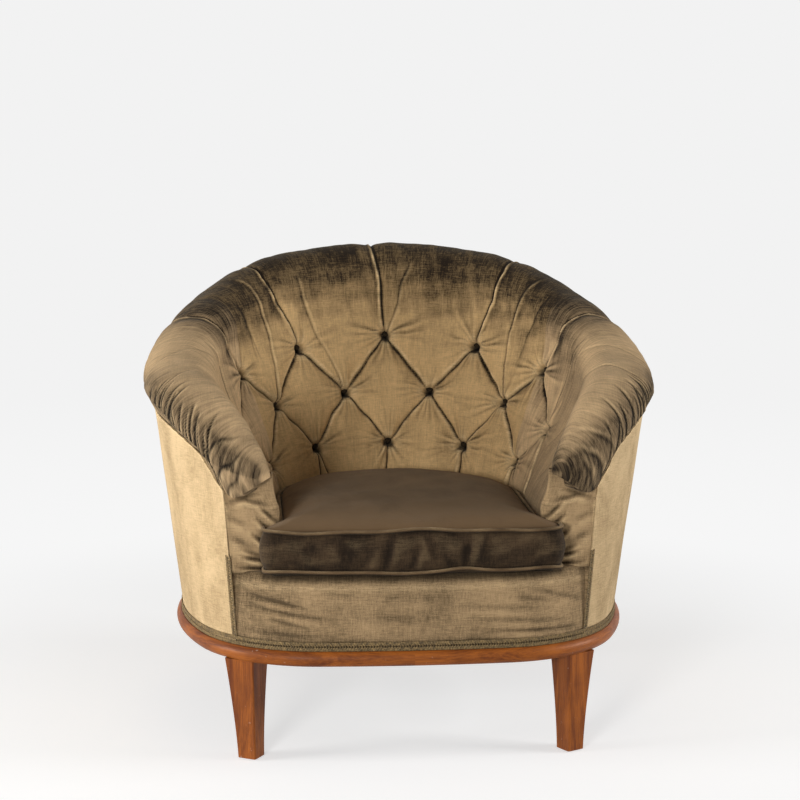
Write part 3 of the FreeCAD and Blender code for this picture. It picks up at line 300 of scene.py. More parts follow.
def rim_arcs():
    """Centre, radius and headings of each arc of the right half of the rim outline."""
    arcs = []
    x, y, heading = 0.0, AXIS_Y + RIM_BACK, 0.0
    turned = sum(turn for radius, turn in RIM_ARCS)
    for radius, turn in list(RIM_ARCS) + [(None, 180.0 - turned)]:
        if radius is None:
            radius = x / math.sin(math.radians(turn))
        start = math.radians(heading)
        cx = x - radius * math.sin(start)
        cy = y - radius * math.cos(start)
        arcs.append((cx, cy, radius, heading + turn))
        heading += turn
        x = cx + radius * math.sin(math.radians(heading))
        y = cy + radius * math.cos(math.radians(heading))
    return arcs


ARCS = rim_arcs()


def rim_point(heading, offset):
    """Point of the rim outline that faces a heading, moved outwards by an offset."""
    side = 1.0
    if heading > 180.0:
        heading, side = 360.0 - heading, -1.0
    if heading < 0.0:
        heading, side = -heading, -1.0
    for cx, cy, radius, end in ARCS:
        if heading <= end + 1e-9:
            break
    turn = math.radians(heading)
    reach = radius + offset
    return side * (cx + reach * math.sin(turn)), cy + reach * math.cos(turn)


def heading_at(angle, offset):
    """Heading of the rim outline at an angle round the axis."""
    low, high = 0.0, 180.0
    for step in range(40):
        middle = 0.5 * (low + high)
        x, y = rim_point(middle, offset)
        if math.degrees(math.atan2(x, y - AXIS_Y)) < angle:
            low = middle
        else:
            high = middle
    return 0.5 * (low + high)


def rim_radius(angle, offset):
    """Distance from the axis to the rim outline, for an array of angles."""
    found = []
    for one in np.atleast_1d(angle):
        x, y = rim_point(heading_at(abs(one), offset), offset)
        found.append(math.hypot(x, y - AXIS_Y))
    return np.array(found)


def outside_edges(angle):
    """Outside cover: its radius at the rim, then its radius and height under the roll."""
    low = rim_radius(angle, COVER_OFFSET)
    low = low if np.ndim(angle) else float(low[0])
    return low, station("under_r", angle) - UNDER_GAP, station("under_z", angle) - UNDER_DROP


def outside_radius(angle, z):
    """Radius of the outside cover at a height."""
    low, high, top = outside_edges(angle)
    return low + (high - low) * (z - RIM_TOP) / (top - RIM_TOP)


# Meshes

def deselect():
    bpy.ops.object.select_all(action="DESELECT")


def select_only(obj):
    deselect()
    obj.select_set(True)
    bpy.context.view_layer.objects.active = obj


def write_uv(mesh, uv):
    """Cloth coordinates in metres, one pair for every vertex."""
    layer = mesh.uv_layers[0] if mesh.uv_layers else mesh.uv_layers.new()
    layer.name = "cloth"
    corner = np.empty(len(mesh.loops), np.int32)
    mesh.loops.foreach_get("vertex_index", corner)
    layer.data.foreach_set("uv", uv.reshape(-1, 2)[corner].astype(np.float32).ravel())


def write_value(mesh, name, values):
    """A number for every vertex, under a name that the materials read."""
    attribute = mesh.attributes.get(name) or mesh.attributes.new(name, "FLOAT", "POINT")
    attribute.data.foreach_set("value", np.asarray(values, np.float32).ravel())


def drawn_grid(name, points, uv, values):
    """A grid laid over given places, as cloth over stuffing. points has rows, columns and xyz."""
    rows, columns = points.shape[:2]
    deselect()
    bpy.ops.mesh.primitive_grid_add(x_subdivisions=columns - 1, y_subdivisions=rows - 1, size=1.0)
    obj = bpy.context.active_object
    obj.name = name
    obj.data.name = name
    obj.data.vertices.foreach_set("co", points.astype(np.float32).ravel())
    write_uv(obj.data, uv)
    for key, value in values.items():
        write_value(obj.data, key, value)
    obj.data.update()
    return obj


def outward(obj, merge=True, fill=True):
    """Merges doubles, closes open ends and turns every face outwards."""
    select_only(obj)
    bpy.ops.object.mode_set(mode="EDIT")
    bpy.ops.mesh.select_all(action="SELECT")
    if merge:
        bpy.ops.mesh.remove_doubles(threshold=1e-6)
    if fill:
        bpy.ops.mesh.fill_holes(sides=0)
    bpy.ops.mesh.select_all(action="SELECT")
    bpy.ops.mesh.normals_make_consistent(inside=False)
    bpy.ops.object.mode_set(mode="OBJECT")


def smooth_shaded(obj, angle=50):
    select_only(obj)
    bpy.ops.object.shade_smooth_by_angle(angle=math.radians(angle))
    deselect()


def add_wall(obj, thickness):
    """Gives a sheet of cloth its thickness, inwards."""
    select_only(obj)
    modifier = obj.modifiers.new("wall", "SOLIDIFY")
    modifier.thickness = thickness
    modifier.offset = -1.0
    modifier.use_even_offset = False
    bpy.ops.object.modifier_apply(modifier=modifier.name)


def finished(obj, material, body, slot, *nodes, fill=None):
    """Dresses a piece, hangs it under its body's empty and hides the CAD parts that it stands in for."""
    obj.data.materials.clear()
    obj.data.materials.append(material)
    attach(obj, body)
    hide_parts(*nodes)
    deselect()


def stuffed(name, points, uv, values, material, body, slot, *nodes, fill=None):
    """A closed skin over stuffing or cord, from a grid that meets itself."""
    obj = drawn_grid(name, points, uv, values)
    outward(obj)
    smooth_shaded(obj)
    finished(obj, material, body, slot, *nodes, fill=fill)


def laid(name, points, uv, values, material, slot, node, thickness=None, fill=None):
    """Cloth with its thickness, laid over a part of the chair."""
    obj = drawn_grid(name, points, uv, values)
    add_wall(obj, thickness or sizes().cloth_thickness)
    smooth_shaded(obj)
    finished(obj, material, "chair", slot, node, fill=fill)


# Shader building

def new_group(name, inputs):
    """A node group that puts out a colour, a roughness and a height."""
    group = bpy.data.node_groups.new(name, "ShaderNodeTree")
    for title, kind, default in inputs:
        socket = group.interface.new_socket(name=title, in_out="INPUT", socket_type=kind)
        socket.default_value = default
    for title, kind in (("Colour", "NodeSocketColor"), ("Roughness", "NodeSocketFloat"),
                        ("Height", "NodeSocketFloat")):
        group.interface.new_socket(name=title, in_out="OUTPUT", socket_type=kind)
    given, result = group.nodes.new("NodeGroupInput"), group.nodes.new("NodeGroupOutput")
    return group, given.outputs, result.inputs


class Wires:
    """Short ways to place and join shader nodes in one tree."""

    def __init__(self, tree):
        self.tree = tree

    def join(self, output, socket):
        self.tree.links.new(output, socket)

    def put(self, kind, links=None, **settings):
        node = self.tree.nodes.new(kind)
        for key, value in settings.items():
            setattr(node, key, value)
        for key, value in (links or {}).items():
            if isinstance(value, bpy.types.NodeSocket):
                self.join(value, node.inputs[key])
            else:
                node.inputs[key].default_value = value
        return node

    def math(self, operation, a, b=0.0, c=None, clamp=False):
        links = {0: a, 1: b}
        if c is not None:
            links[2] = c
        return self.put("ShaderNodeMath", links, operation=operation, use_clamp=clamp).outputs[0]

    def scaled(self, vector, scale):
        node = self.put("ShaderNodeVectorMath", {0: vector, 1: scale}, operation="MULTIPLY")
        return node.outputs[0]

    def noise(self, vector, scale=1.0, detail=2.0, roughness=0.5, distortion=0.0):
        node = self.put("ShaderNodeTexNoise", {"Vector": vector, "Scale": scale, "Detail": detail,
                                               "Roughness": roughness, "Distortion": distortion})
        return node.outputs["Fac"]

    def mix(self, factor, a, b, blend="MIX"):
        node = self.put("ShaderNodeMix", {0: factor, 6: a, 7: b}, data_type="RGBA", blend_type=blend)
        return node.outputs[2]

    def ramp(self, value, low, high):
        node = self.put("ShaderNodeMapRange", {0: value, 1: low, 2: high, 3: 0.0, 4: 1.0},
                        interpolation_type="SMOOTHSTEP")
        return node.outputs[0]

    def value(self, name):
        return self.put("ShaderNodeAttribute", attribute_name=name).outputs["Fac"]


def pile_group():
    """Cut pile with its ribs and crushed patches, painted shade and light from the mesh's values, rubbed
    ridges with painted highlights, and painted shade in folds.
    """
    group, given, result = new_group(
        "velvet_pile",
        (("Lit pile", "NodeSocketColor", (1, 1, 1, 1)), ("Shaded pile", "NodeSocketColor", (0, 0, 0, 1)),
         ("Worn_and_highlight", "NodeSocketColor", (1, 1, 1, 1)), ("Pile_and_shade", "NodeSocketFloat", 0.5),
         ("Fold", "NodeSocketFloat", 0.0), ("Wear_and_highlight", "NodeSocketFloat", 0.0),
         ("Ribs", "NodeSocketFloat", 0.5), ("Crush", "NodeSocketFloat", 0.3),
         ("Across", "NodeSocketFloat", 0.0), ("Brush", "NodeSocketFloat", 0.3)))
    w = Wires(group)
    cloth = w.put("ShaderNodeUVMap", uv_map="cloth").outputs[0]
    ribs = w.noise(w.scaled(cloth, (50.0, 460.0, 1.0)), detail=4.0, roughness=0.75)
    warp = w.noise(w.scaled(cloth, (430.0, 60.0, 1.0)), detail=4.0, roughness=0.75)
    grain = w.noise(w.scaled(cloth, (900.0, 900.0, 1.0)), detail=3.0, roughness=0.75)
    crush = w.noise(w.scaled(cloth, (16.0, 9.0, 1.0)), detail=6.0, roughness=0.62, distortion=0.7)
    brush = w.noise(w.scaled(cloth, (75.0, 6.0, 1.0)), detail=3.0, roughness=0.6, distortion=0.3)
    wrinkle = w.noise(w.scaled(cloth, (300.0, 11.0, 1.0)), detail=3.0, roughness=0.6, distortion=0.2)
    fine = w.math("SUBTRACT", w.math("ADD", w.math("ADD", ribs, warp), grain), 1.5)
    # The mesh's value sets painted shade and light, and the pile's own patches, streaks, ribs and
    # wrinkles vary the tone about it
    tone = w.math("MULTIPLY_ADD", w.math("SUBTRACT", crush, 0.5), given["Crush"], given["Pile_and_shade"])
    tone = w.math("MULTIPLY_ADD", w.math("SUBTRACT", brush, 0.5), given["Brush"], tone)
    tone = w.math("MULTIPLY_ADD", fine, w.math("MULTIPLY", given["Ribs"], 0.8), tone)
    tone = w.math("MULTIPLY_ADD", w.math("SUBTRACT", wrinkle, 0.5),
                  w.math("MULTIPLY", given["Across"], 0.9), tone, clamp=True)
    colour = w.mix(tone, given["Shaded pile"], given["Lit pile"])
    # Rubbed pile, which also carries painted highlights along ridges, where the mesh's value asks for it
    rub = w.math("MULTIPLY", given["Wear_and_highlight"], w.ramp(w.math("ADD", grain, ribs), 0.7, 1.2))
    colour = w.mix(rub, colour, given["Worn_and_highlight"])
    # Painted shade in folds, creases and pits: the shaded pile darkened nearly to black
    deep = w.mix(1.0, given["Shaded pile"], (0.09, 0.07, 0.055, 1.0), "MULTIPLY")
    w.join(w.mix(given["Fold"], colour, deep), result["Colour"])
    w.join(w.math("MULTIPLY_ADD", crush, -0.25, 0.95), result["Roughness"])
    height = w.math("MULTIPLY_ADD", ribs, given["Ribs"], w.math("MULTIPLY", grain, 0.35))
    furrow = w.math("MULTIPLY", given["Across"], 2.5)
    w.join(w.math("MULTIPLY_ADD", wrinkle, furrow, height), result["Height"])
    return group


def grain_group():
    """Long wood grain with pores, along the X of the given vector."""
    group, given, result = new_group(
        "polished_grain",
        (("Vector", "NodeSocketVector", (0, 0, 0)), ("Light", "NodeSocketColor", (1, 1, 1, 1)),
         ("Dark", "NodeSocketColor", (0, 0, 0, 1)), ("Scuffs", "NodeSocketFloat", 0.3)))
    w = Wires(group)
    vector, dark = given["Vector"], given["Dark"]
    figure = w.noise(w.scaled(vector, (5.0, 55.0, 55.0)), detail=4.0, roughness=0.6, distortion=0.8)
    lines = w.noise(w.scaled(vector, (12.0, 420.0, 420.0)), detail=3.0, roughness=0.7)
    pores = w.noise(w.scaled(vector, (90.0, 1900.0, 1900.0)), detail=1.0)
    blotch = w.noise(vector, scale=14.0, detail=3.0)
    rubs = w.noise(vector, scale=95.0, detail=4.0, roughness=0.7)
    tone = w.math("ADD", w.math("MULTIPLY", figure, 0.62), w.math("MULTIPLY", lines, 0.40))
    colour = w.mix(w.ramp(tone, 0.30, 0.72), dark, given["Light"])
    pore = w.math("MULTIPLY", w.ramp(pores, 0.60, 0.72), 0.55)
    colour = w.mix(pore, colour, dark)
    colour = w.mix(w.math("MULTIPLY", w.ramp(blotch, 0.45, 0.7), 0.35), colour, dark)
    rub = w.math("MULTIPLY", w.ramp(rubs, 0.66, 0.74), given["Scuffs"])
    w.join(w.mix(rub, colour, (0.78, 0.62, 0.48, 1.0)), result["Colour"])
    w.join(w.math("MULTIPLY_ADD", blotch, 0.25, 0.38), result["Roughness"])
    w.join(w.math("SUBTRACT", w.math("MULTIPLY", lines, 0.5), pore), result["Height"])
    return group


def shared_group(name, build):
    return bpy.data.node_groups.get(name) or build()


def new_material(name, colour):
    material = bpy.data.materials.new(name)
    material.use_nodes = True
    material.diffuse_color = colour
    shader = material.node_tree.nodes["Principled BSDF"]
    return material, shader, Wires(material.node_tree)


def set_sockets(node, values):
    for key, value in values.items():
        node.inputs[key].default_value = value


def bump(w, shader, height, distance, strength=1.0):
    node = w.put("ShaderNodeBump", {"Height": height, "Distance": distance, "Strength": strength})
    w.join(node.outputs[0], shader.inputs["Normal"])


def surface(w, shader, group, distance, strength=1.0):
    """Joins a group's colour, roughness and height to the shader."""
    w.join(group.outputs["Colour"], shader.inputs["Base Color"])
    w.join(group.outputs["Roughness"], shader.inputs["Roughness"])
    bump(w, shader, group.outputs["Height"], distance, strength)


# Ribs, crushed patches, wrinkles across, brushed streaks and sheen of each velvet
VELVETS = {
    "inside": (0.85, 0.55, 0.3, 0.08, 0.08),
    "arms": (0.6, 0.4, 0.85, 0.10, 0.08),
    "outside": (1.5, 1.6, 0.0, 0.12, 0.08),
    "front": (1.6, 0.8, 0.0, 0.15, 0.08),
    "cushion": (0.6, 0.8, 0.0, 0.05, 0.1),
}


def velvet(kind):
    """Velvet for one group of pieces, from the shared pile group and the mesh's own values of painted
    shade and light, painted shade in folds, and rubbed pile with painted highlights.
    """
    name = "velvet_of_" + kind
    found = bpy.data.materials.get(name)
    if found:
        return found
    light, dark = (linear(getattr(colours(), kind + pile)) for pile in ("_light", "_dark"))
    ribs, crush, across, brush, sheen = VELVETS[kind]
    material, shader, w = new_material(name, light)
    group = w.put("ShaderNodeGroup", node_tree=shared_group("velvet_pile", pile_group))
    set_sockets(group, {"Lit pile": light, "Shaded pile": dark, "Worn_and_highlight": linear(colours().worn_and_highlight),
                        "Ribs": ribs, "Crush": crush, "Across": across, "Brush": brush})
    for key in ("Pile_and_shade", "Fold", "Wear_and_highlight"):
        w.join(w.value(key.lower()), group.inputs[key])
    surface(w, shader, group, 0.0008)
    set_sockets(shader, {"Specular IOR Level": 0.12, "Sheen Weight": sheen, "Sheen Roughness": 0.45,
                         "Sheen Tint": (1.0, 0.86, 0.66, 1.0)})
    return material


def wood_material(name, round_seat):
    """Polished wood, its grain up the height of a leg or round the seat."""
    c = colours()
    material, shader, w = new_material(name, linear(c.wood_light))
    spot = w.put("ShaderNodeTexCoord").outputs["Object"]
    x, y, z = w.put("ShaderNodeSeparateXYZ", {0: spot}).outputs
    if round_seat:
        square = w.math("MULTIPLY_ADD", x, x, w.math("MULTIPLY", y, y))
        grain = (w.math("MULTIPLY", w.math("ARCTAN2", x, y), 0.4), w.math("SQRT", square), z)
    else:
        grain = (z, x, y)
    vector = w.put("ShaderNodeCombineXYZ", dict(enumerate(grain))).outputs[0]
    group = w.put("ShaderNodeGroup", {"Vector": vector, "Light": linear(c.wood_light),
                                      "Dark": linear(c.wood_dark), "Scuffs": 0.35},
                  node_tree=shared_group("polished_grain", grain_group))
    surface(w, shader, group, 0.0003, 0.6)
    set_sockets(shader, {"Specular IOR Level": 0.2, "Coat Weight": 0.06, "Coat Roughness": 0.3})
    return material


def plain_material(name, light, dark, scale, roughness, metallic=0.0, stretch=(1.0, 1.0, 1.0)):
    """A woven, sawn or drawn surface: two tones and a fine relief."""
    material, shader, w = new_material(name, linear(light))
    spot = w.scaled(w.put("ShaderNodeTexCoord").outputs["Object"], stretch)
    coarse = w.noise(spot, scale=scale, detail=4.0, roughness=0.65)
    fine = w.noise(spot, scale=scale * 9.0, detail=2.0)
    tone = w.math("ADD", w.math("MULTIPLY", coarse, 0.6), w.math("MULTIPLY", fine, 0.4))
    colour = w.mix(w.ramp(tone, 0.35, 0.65), linear(dark), linear(light))
    w.join(colour, shader.inputs["Base Color"])
    w.join(w.math("MULTIPLY_ADD", coarse, 0.2, roughness - 0.1), shader.inputs["Roughness"])
    set_sockets(shader, {"Metallic": metallic})
    bump(w, shader, fine, 0.0004)
    return material


# Buttoning of the inside

def row_height(row, angle):
    """Height of a row of buttons at an angle, straight between its buttons."""
    first = 0.5 if row is MIDDLE_ROW else 0.0
    where = min(max(abs(angle) / BUTTON_STEP - first, 0.0), 2.0)
    i = min(int(where), 1)
    return row[i] + (row[i + 1] - row[i]) * (where - i)


def button_places():
    """Angle and height of the sixteen buttons."""
    places = []
    for k in range(-2, 3):
        for row in (UPPER_ROW, LOWER_ROW):
            places.append((k * BUTTON_STEP, row_height(row, k * BUTTON_STEP)))
    for k in range(-3, 3):
        angle = (k + 0.5) * BUTTON_STEP
        places.append((angle, row_height(MIDDLE_ROW, angle)))
    return places


def roll_section(angle):
    """Radii and heights of shoulder, crest, widest and under points at an angle."""
    return [station(key, angle) for key in SECTIONS]


# Rows of the mesh up to the crest, down to the widest point and down to the under edge
ROLL_STEPS = (38, 38, 18)


def roll_points(angle):
    """Radius and height of the roll's surface, from the shoulder to the under edge."""
    sr, sz, cr, cz, wr, wz, ur, uz = roll_section(angle)
    rising, over, down = (np.arange(1, count + 1)[:, None] / count for count in ROLL_STEPS)
    rising, over = 0.5 * math.pi * rising, 0.5 * math.pi * over
    radius = (cr - (cr - sr) * np.cos(rising), cr + (wr - cr) * np.sin(over), wr + (ur - wr) * down)
    height = (sz + (cz - sz) * np.sin(rising), wz + (cz - wz) * np.cos(over), wz + (uz - wz) * down)
    return np.vstack(radius), np.vstack(height)


def roll_length(angle):
    """Length of cloth over the roll at an angle."""
    radius, height = roll_points(np.array([float(angle)]))
    start = [(station("shoulder_r", angle), station("shoulder_z", angle))]
    return float(way_along(np.vstack((start, np.hstack((radius, height)))))[-1])


def level(angle, where):
    """Height along the cloth: a height in millimetres, or a share of the way over the roll."""
    if where > 1.001:
        return where
    return float(station("shoulder_z", angle)) + where * roll_length(angle)


def pleat(points, start, middle, end, width, lip=0.0, dark=9.0):
    """A fold along points of angle and place, with its depth at both ends and between.

    lip is the height of the edge beside it, on the side that its sign names, and dark is the depth
    at which the fold's painted shade is full.
    """
    path = [(angle, level(angle, where)) for angle, where in points]
    return {"path": path, "depth": (start, middle, end), "width": width, "lip": lip * LIP, "dark": dark}


# Folds that rise from the upper row over the roll, and folds that fall from the lower row behind the
# cushion. Each place is an angle with a height, or with a share of the way over the roll.
RISING_FOLDS = (
    ((-59.0, 556.0), (-65.0, 0.0), (-68.0, 0.3), (-67.0, 0.62), (-65.5, 1.0)),
    ((-29.5, 586.0), (-32.0, 630.0), (-36.0, 0.0), (-39.5, 0.25), (-39.0, 0.6), (-38.5, 1.0)),
    ((0.0, 603.0), (-1.5, 0.0), (-3.0, 0.35), (-4.0, 1.0)),
    ((29.5, 586.0), (31.0, 630.0), (34.0, 0.0), (36.0, 0.25), (36.0, 1.0)),
    ((59.0, 556.0), (64.0, 0.0), (67.5, 0.3), (68.5, 0.62), (67.0, 1.0)),
)
FALLING_FOLDS = (
    ((-59.0, 402.0), (-58.0, 285.0)), ((-29.5, 416.0), (-30.5, 285.0)),
    ((-29.0, 412.0), (-24.5, 350.0), (-22.0, 285.0)), ((0.0, 419.0), (-2.5, 285.0)),
    ((29.5, 416.0), (29.8, 285.0)), ((59.0, 402.0), (57.0, 350.0), (55.5, 285.0)),
)
# Soft folds where the cloth is eased, on both sides and then on one: places, depth at the start,
# between and at the end, width, lip and dark, the depth at which the painted shade is full
PAIRED_FOLDS = (
    (((106.0, 0.88), (103.5, 0.62), (99.0, 0.36), (95.0, 0.12)), 1.6, 2.6, 0.8, 1.6, 1.3, 6.0),
    (((92.0, 0.95), (89.5, 0.6), (84.0, 0.30), (80.0, 0.05)), 1.0, 1.8, 0.4, 1.6, 1.0, 7.0),
    (((44.5, 500.0), (42.0, 560.0), (42.0, 615.0), (45.0, 0.1), (49.0, 0.42)), 10.0, 4.5, 0.0, 4.5, 1.6),
    (((47.0, 545.0), (49.5, 600.0), (53.0, 0.1), (57.0, 0.35)), 0.0, 3.2, 0.0, 5.0),
    (((84.0, 430.0), (92.0, 480.0), (98.0, 0.02)), 0.0, 3.0, 0.0, 6.0),
    (((96.0, 380.0), (104.0, 430.0), (112.0, 0.0)), 0.0, 2.6, 0.0, 7.0),
)
SINGLE_FOLDS = (
    (((-15.5, 507.0), (-19.0, 560.0), (-23.5, 612.0), (-27.0, 0.0), (-29.0, 0.2)),
     9.0, 3.6, 0.0, 4.2, 1.2),
    (((0.5, 606.0), (2.5, 640.0), (4.5, 0.0), (8.0, 0.2)), 8.0, 3.0, 0.0, 4.2, 1.0),
    (((-50.0, 560.0), (-51.0, 615.0), (-55.0, 0.25)), 0.0, 3.0, 0.0, 4.5),
)
# Tension folds between two buttons of one row: the buttons in steps, their heights and the sag
SAGGING_FOLDS = (
    (0.5, 1.5, 507.0, 496.0, 15.0), (0.5, 1.5, 509.0, 500.0, 7.0), (-1.5, -0.5, 496.0, 507.0, 8.0),
    (0.0, 1.0, 419.0, 416.0, 13.0), (-1.0, 0.0, 416.0, 419.0, 9.0), (1.0, 2.0, 416.0, 402.0, 10.0),
    (-2.0, -1.0, 402.0, 416.0, 10.0), (1.5, 2.5, 496.0, 465.0, 8.0), (-2.5, -1.5, 465.0, 496.0, 8.0),
)
# Short folds at the front of the arms: depth, then places
NOSE_FOLDS = (
    (3.0, (127.0, 0.95), (129.5, 0.72), (132.0, 0.48)),
    (2.4, (124.5, 0.88), (126.0, 0.66), (129.0, 0.36)),
    (2.2, (129.5, 0.98), (131.5, 0.82), (133.2, 0.66)),
)


def pleats():
    """Every fold of the buttoned cover."""
    s = sizes()
    pit, deep, over = 0.62 * s.button_pit / MM, s.pleat_depth / MM, s.roll_pleat_depth / MM
    folds = []
    for k in range(-2, 3):
        angle = k * BUTTON_STEP
        for half in (-0.5, 0.5):
            side = (k + half) * BUTTON_STEP
            centre = (side, row_height(MIDDLE_ROW, side))
            for row, lip in ((UPPER_ROW, -2.4), (LOWER_ROW, 1.6)):
                points = [(angle, row_height(row, angle)), centre]
                folds.append(pleat(points, pit, deep, pit, 3.6, lip * np.sign(half)))
    for fold in RISING_FOLDS:
        folds.append(pleat(fold, pit, over, 0.55 * over, 3.4, 3.0 if fold[0][0] > 0.0 else -3.0))
    for fold in FALLING_FOLDS:
        folds.append(pleat(fold, pit, 0.8 * deep, 0.3 * deep, 3.0, 2.0))
    last, last_z = 2.5 * BUTTON_STEP, MIDDLE_ROW[2]
    paired = PAIRED_FOLDS + (
        (((last, last_z), (last + 5.0, 400.0), (last + 7.0, 285.0)),
         pit, 0.7 * deep, 0.2 * deep, 4.0, 1.5),
        (((last, last_z), (last + 2.0, 0.0), (last + 5.0, 0.28)), pit, 5.0, 0.0, 4.5, 1.0))
    for points, *depths in paired:
        for side in (-1.0, 1.0):
            folds.append(pleat([(side * angle, where) for angle, where in points], *depths))
    for points, *depths in SINGLE_FOLDS:
        folds.append(pleat(points, *depths))
    for first, last, z_first, z_last, sag in SAGGING_FOLDS:
        t = np.linspace(0.0, 1.0, 7)
        angles = (first + (last - first) * t) * BUTTON_STEP
        heights = z_first + (z_last - z_first) * t - 4.0 * sag * t * (1.0 - t)
        folds.append(pleat(zip(angles, heights), 7.0, 2.2, 7.0, 6.5, 0.0, 22.0))
    return folds


def gathers():
    """Short folds where the roll is drawn in under its outer edge, and at the front of the arms."""
    draw = random.Random(7)
    depth = sizes().gather_depth / MM
    folds = []
    for side in (-1.0, 1.0):
        angle = 99.0
        while angle < 128.5:
            reach = draw.uniform(0.26, 0.52) * (1.0 if angle > 106.0 else 0.5)
            lean = draw.uniform(3.5, 6.5)
            strong = depth * draw.uniform(0.65, 1.25)
            points = [(side * angle, 1.0), (side * (angle - 0.45 * lean), 1.0 - 0.5 * reach),
                      (side * (angle - lean), 1.0 - reach)]
            folds.append(pleat(points, strong, 0.7 * strong, 0.0, draw.uniform(1.5, 2.6), 1.2, 3.6))
            angle += draw.uniform(0.9, 1.8)
        for strong, *places in NOSE_FOLDS:
            points = [(side * a, where) for a, where in places]
            folds.append(pleat(points, strong, 0.8 * strong, 0.0, 2.8, 1.2, 4.5))
    angle = -97.0
    while angle < 97.0:
        reach = draw.uniform(0.10, 0.22)
        strong = depth * draw.uniform(0.35, 0.8)
        folds.append(pleat([(angle, 1.0), (angle + draw.uniform(-1.0, 1.0), 1.0 - reach)],
                           strong, 0.5 * strong, 0.0, draw.uniform(2.0, 3.5)))
        angle += draw.uniform(2.2, 4.5)
    return folds


# Fans of small folds from a button: headings, how far they stray, their lengths and their heights
FANS = (
    ((-122, -108, -93, -78, -62, 63, 76, 90, 104, 117), 4.0, (24.0, 52.0), (1.6, 3.6)),
    ((-14, 2, 16, 165, 180, 195), 5.0, (30.0, 60.0), (1.8, 3.8)),
)


def button_wrinkles():
    """Small folds that fan out from each button: heading, length and height of every ridge."""
    draw = random.Random(21)
    fans = []
    for angle, z in button_places():
        ridges = []
        for headings, stray, lengths, heights in FANS:
            for heading in headings:
                ridges.append((math.radians(heading + draw.uniform(-stray, stray)),
                               draw.uniform(*lengths), draw.uniform(*heights)))
        fans.append((angle, z, ridges))
    return fans


def fold_distance(path, angle, along, reach):
    """Distance to a fold, share along it and side of it, for every point of the cover."""
    best = np.full(angle.shape, 1e6)
    share = np.zeros(angle.shape)
    side = np.zeros(angle.shape)
    count = len(path) - 1
    for i in range(count):
        ax = np.radians(path[i][0] - angle) * reach
        ay = path[i][1] - along
        bx = np.radians(path[i + 1][0] - angle) * reach
        by = path[i + 1][1] - along
        ex, ey = bx - ax, by - ay
        t = np.clip(-(ax * ex + ay * ey) / (ex * ex + ey * ey), 0.0, 1.0)
        distance = np.hypot(ax + ex * t, ay + ey * t)
        near = distance < best
        best = np.where(near, distance, best)
        share = np.where(near, (i + t) / count, share)
        side = np.where(near, np.sign(ex * ay - ey * ax), side)
    return best, share, side


# Reach of a button's hollow, how far folds stray, height of their lips and how sharply depths join
PIT_REACH = 9.5
WOBBLE = 3.2
LIP = 0.75
POWER = 4.0


def press_fold(one, angle, along, reach, uneven, sunk, raised, fold, wear_and_highlight):
    """Adds one fold, and the lip beside it, to the depths of the cover, with painted shade along the
    fold and rubbed pile with a painted highlight on the lip.
    """
    near = 60.0 + 10.0 * one["width"]
    span, rise = np.array(one["path"]).T
    margin = math.degrees(near / 250.0)
    mask = ((angle > span.min() - margin) & (angle < span.max() + margin)
            & (along > rise.min() - near) & (along < rise.max() + near))
    if not mask.any():
        return
    d, t, side = fold_distance(one["path"], angle[mask], along[mask], reach[mask])
    start, middle, end = one["depth"]
    swing = (2.0 * t - 1.0) ** 2
    depth = middle + np.where(t < 0.5, start - middle, end - middle) * swing
    crease = np.exp(-d / one["width"])
    trough = bell(d, 0.0, 6.0 * one["width"])
    sunk[mask] += (0.5 * depth * (crease + trough)) ** POWER
    # Painted shade along the crease, deeper folds darker, broken where the cloth is uneven
    strength = unit(depth / one["dark"])
    broken = np.clip(0.45 + 0.55 * uneven[mask], 0.2, 1.0)
    fold[mask] = np.maximum(fold[mask], strength * broken * bell(d, 0.0, 1.35))
    if one["lip"]:
        on = side * np.sign(one["lip"]) > 0.0
        crest = bell(d, 4.2, 3.0) * on * (1.0 - swing ** 3)
        raised[mask] = np.maximum(raised[mask], abs(one["lip"]) * crest * uneven[mask])
        # Rubbed pile with a painted highlight along the lip
        rub = bell(d, 3.4, 1.9) * on * strength * np.clip(uneven[mask], 0.0, 1.6)
        wear_and_highlight[mask] = np.maximum(wear_and_highlight[mask], 0.75 * rub)


def press_button(where, z, ridges, angle, along, reach, sunk, raised, fold, wear_and_highlight):
    """Adds a button's hollow, and the ridges that fan out from it, with painted shade in the hollow and
    in a furrow beside each ridge.
    """
    dx = np.radians(angle - where) * reach
    dy = along - z
    mask = np.hypot(dx, dy) < 110.0
    if not mask.any():
        return
    r = np.hypot(dx, dy)[mask]
    pit = sizes().button_pit / MM
    hole = pit * (0.58 * np.exp(-(r / PIT_REACH) ** 2.6) + 0.42 * np.exp(-r / 25.0))
    sunk[mask] = (sunk[mask] ** POWER + hole ** POWER) ** (1.0 / POWER)
    heading = np.arctan2(dy[mask], dx[mask])
    for way, length, height in ridges:
        fade = unit((r - 7.0) / 6.0) * bell(r, 0.0, length)
        turn = np.abs(np.angle(np.exp(1j * (heading - way))))
        raised[mask] += height * bell(turn * np.maximum(r, 6.0), 0.0, 1.6 + 0.05 * r) * fade
        # Painted shade in a furrow beside each ridge
        beside = np.abs(np.angle(np.exp(1j * (heading - way - 0.16))))
        furrow = bell(beside * np.maximum(r, 6.0), 0.0, 1.3 + 0.02 * r)
        fold[mask] = np.maximum(fold[mask], 0.16 * height * furrow * fade)
    # Painted shade in the hollow, and rubbed pile with a painted highlight round it
    fold[mask] = np.maximum(fold[mask], np.exp(-(r / 8.6) ** 4))
    wear_and_highlight[mask] = np.maximum(wear_and_highlight[mask], 0.35 * bell(r, 14.0, 7.0))


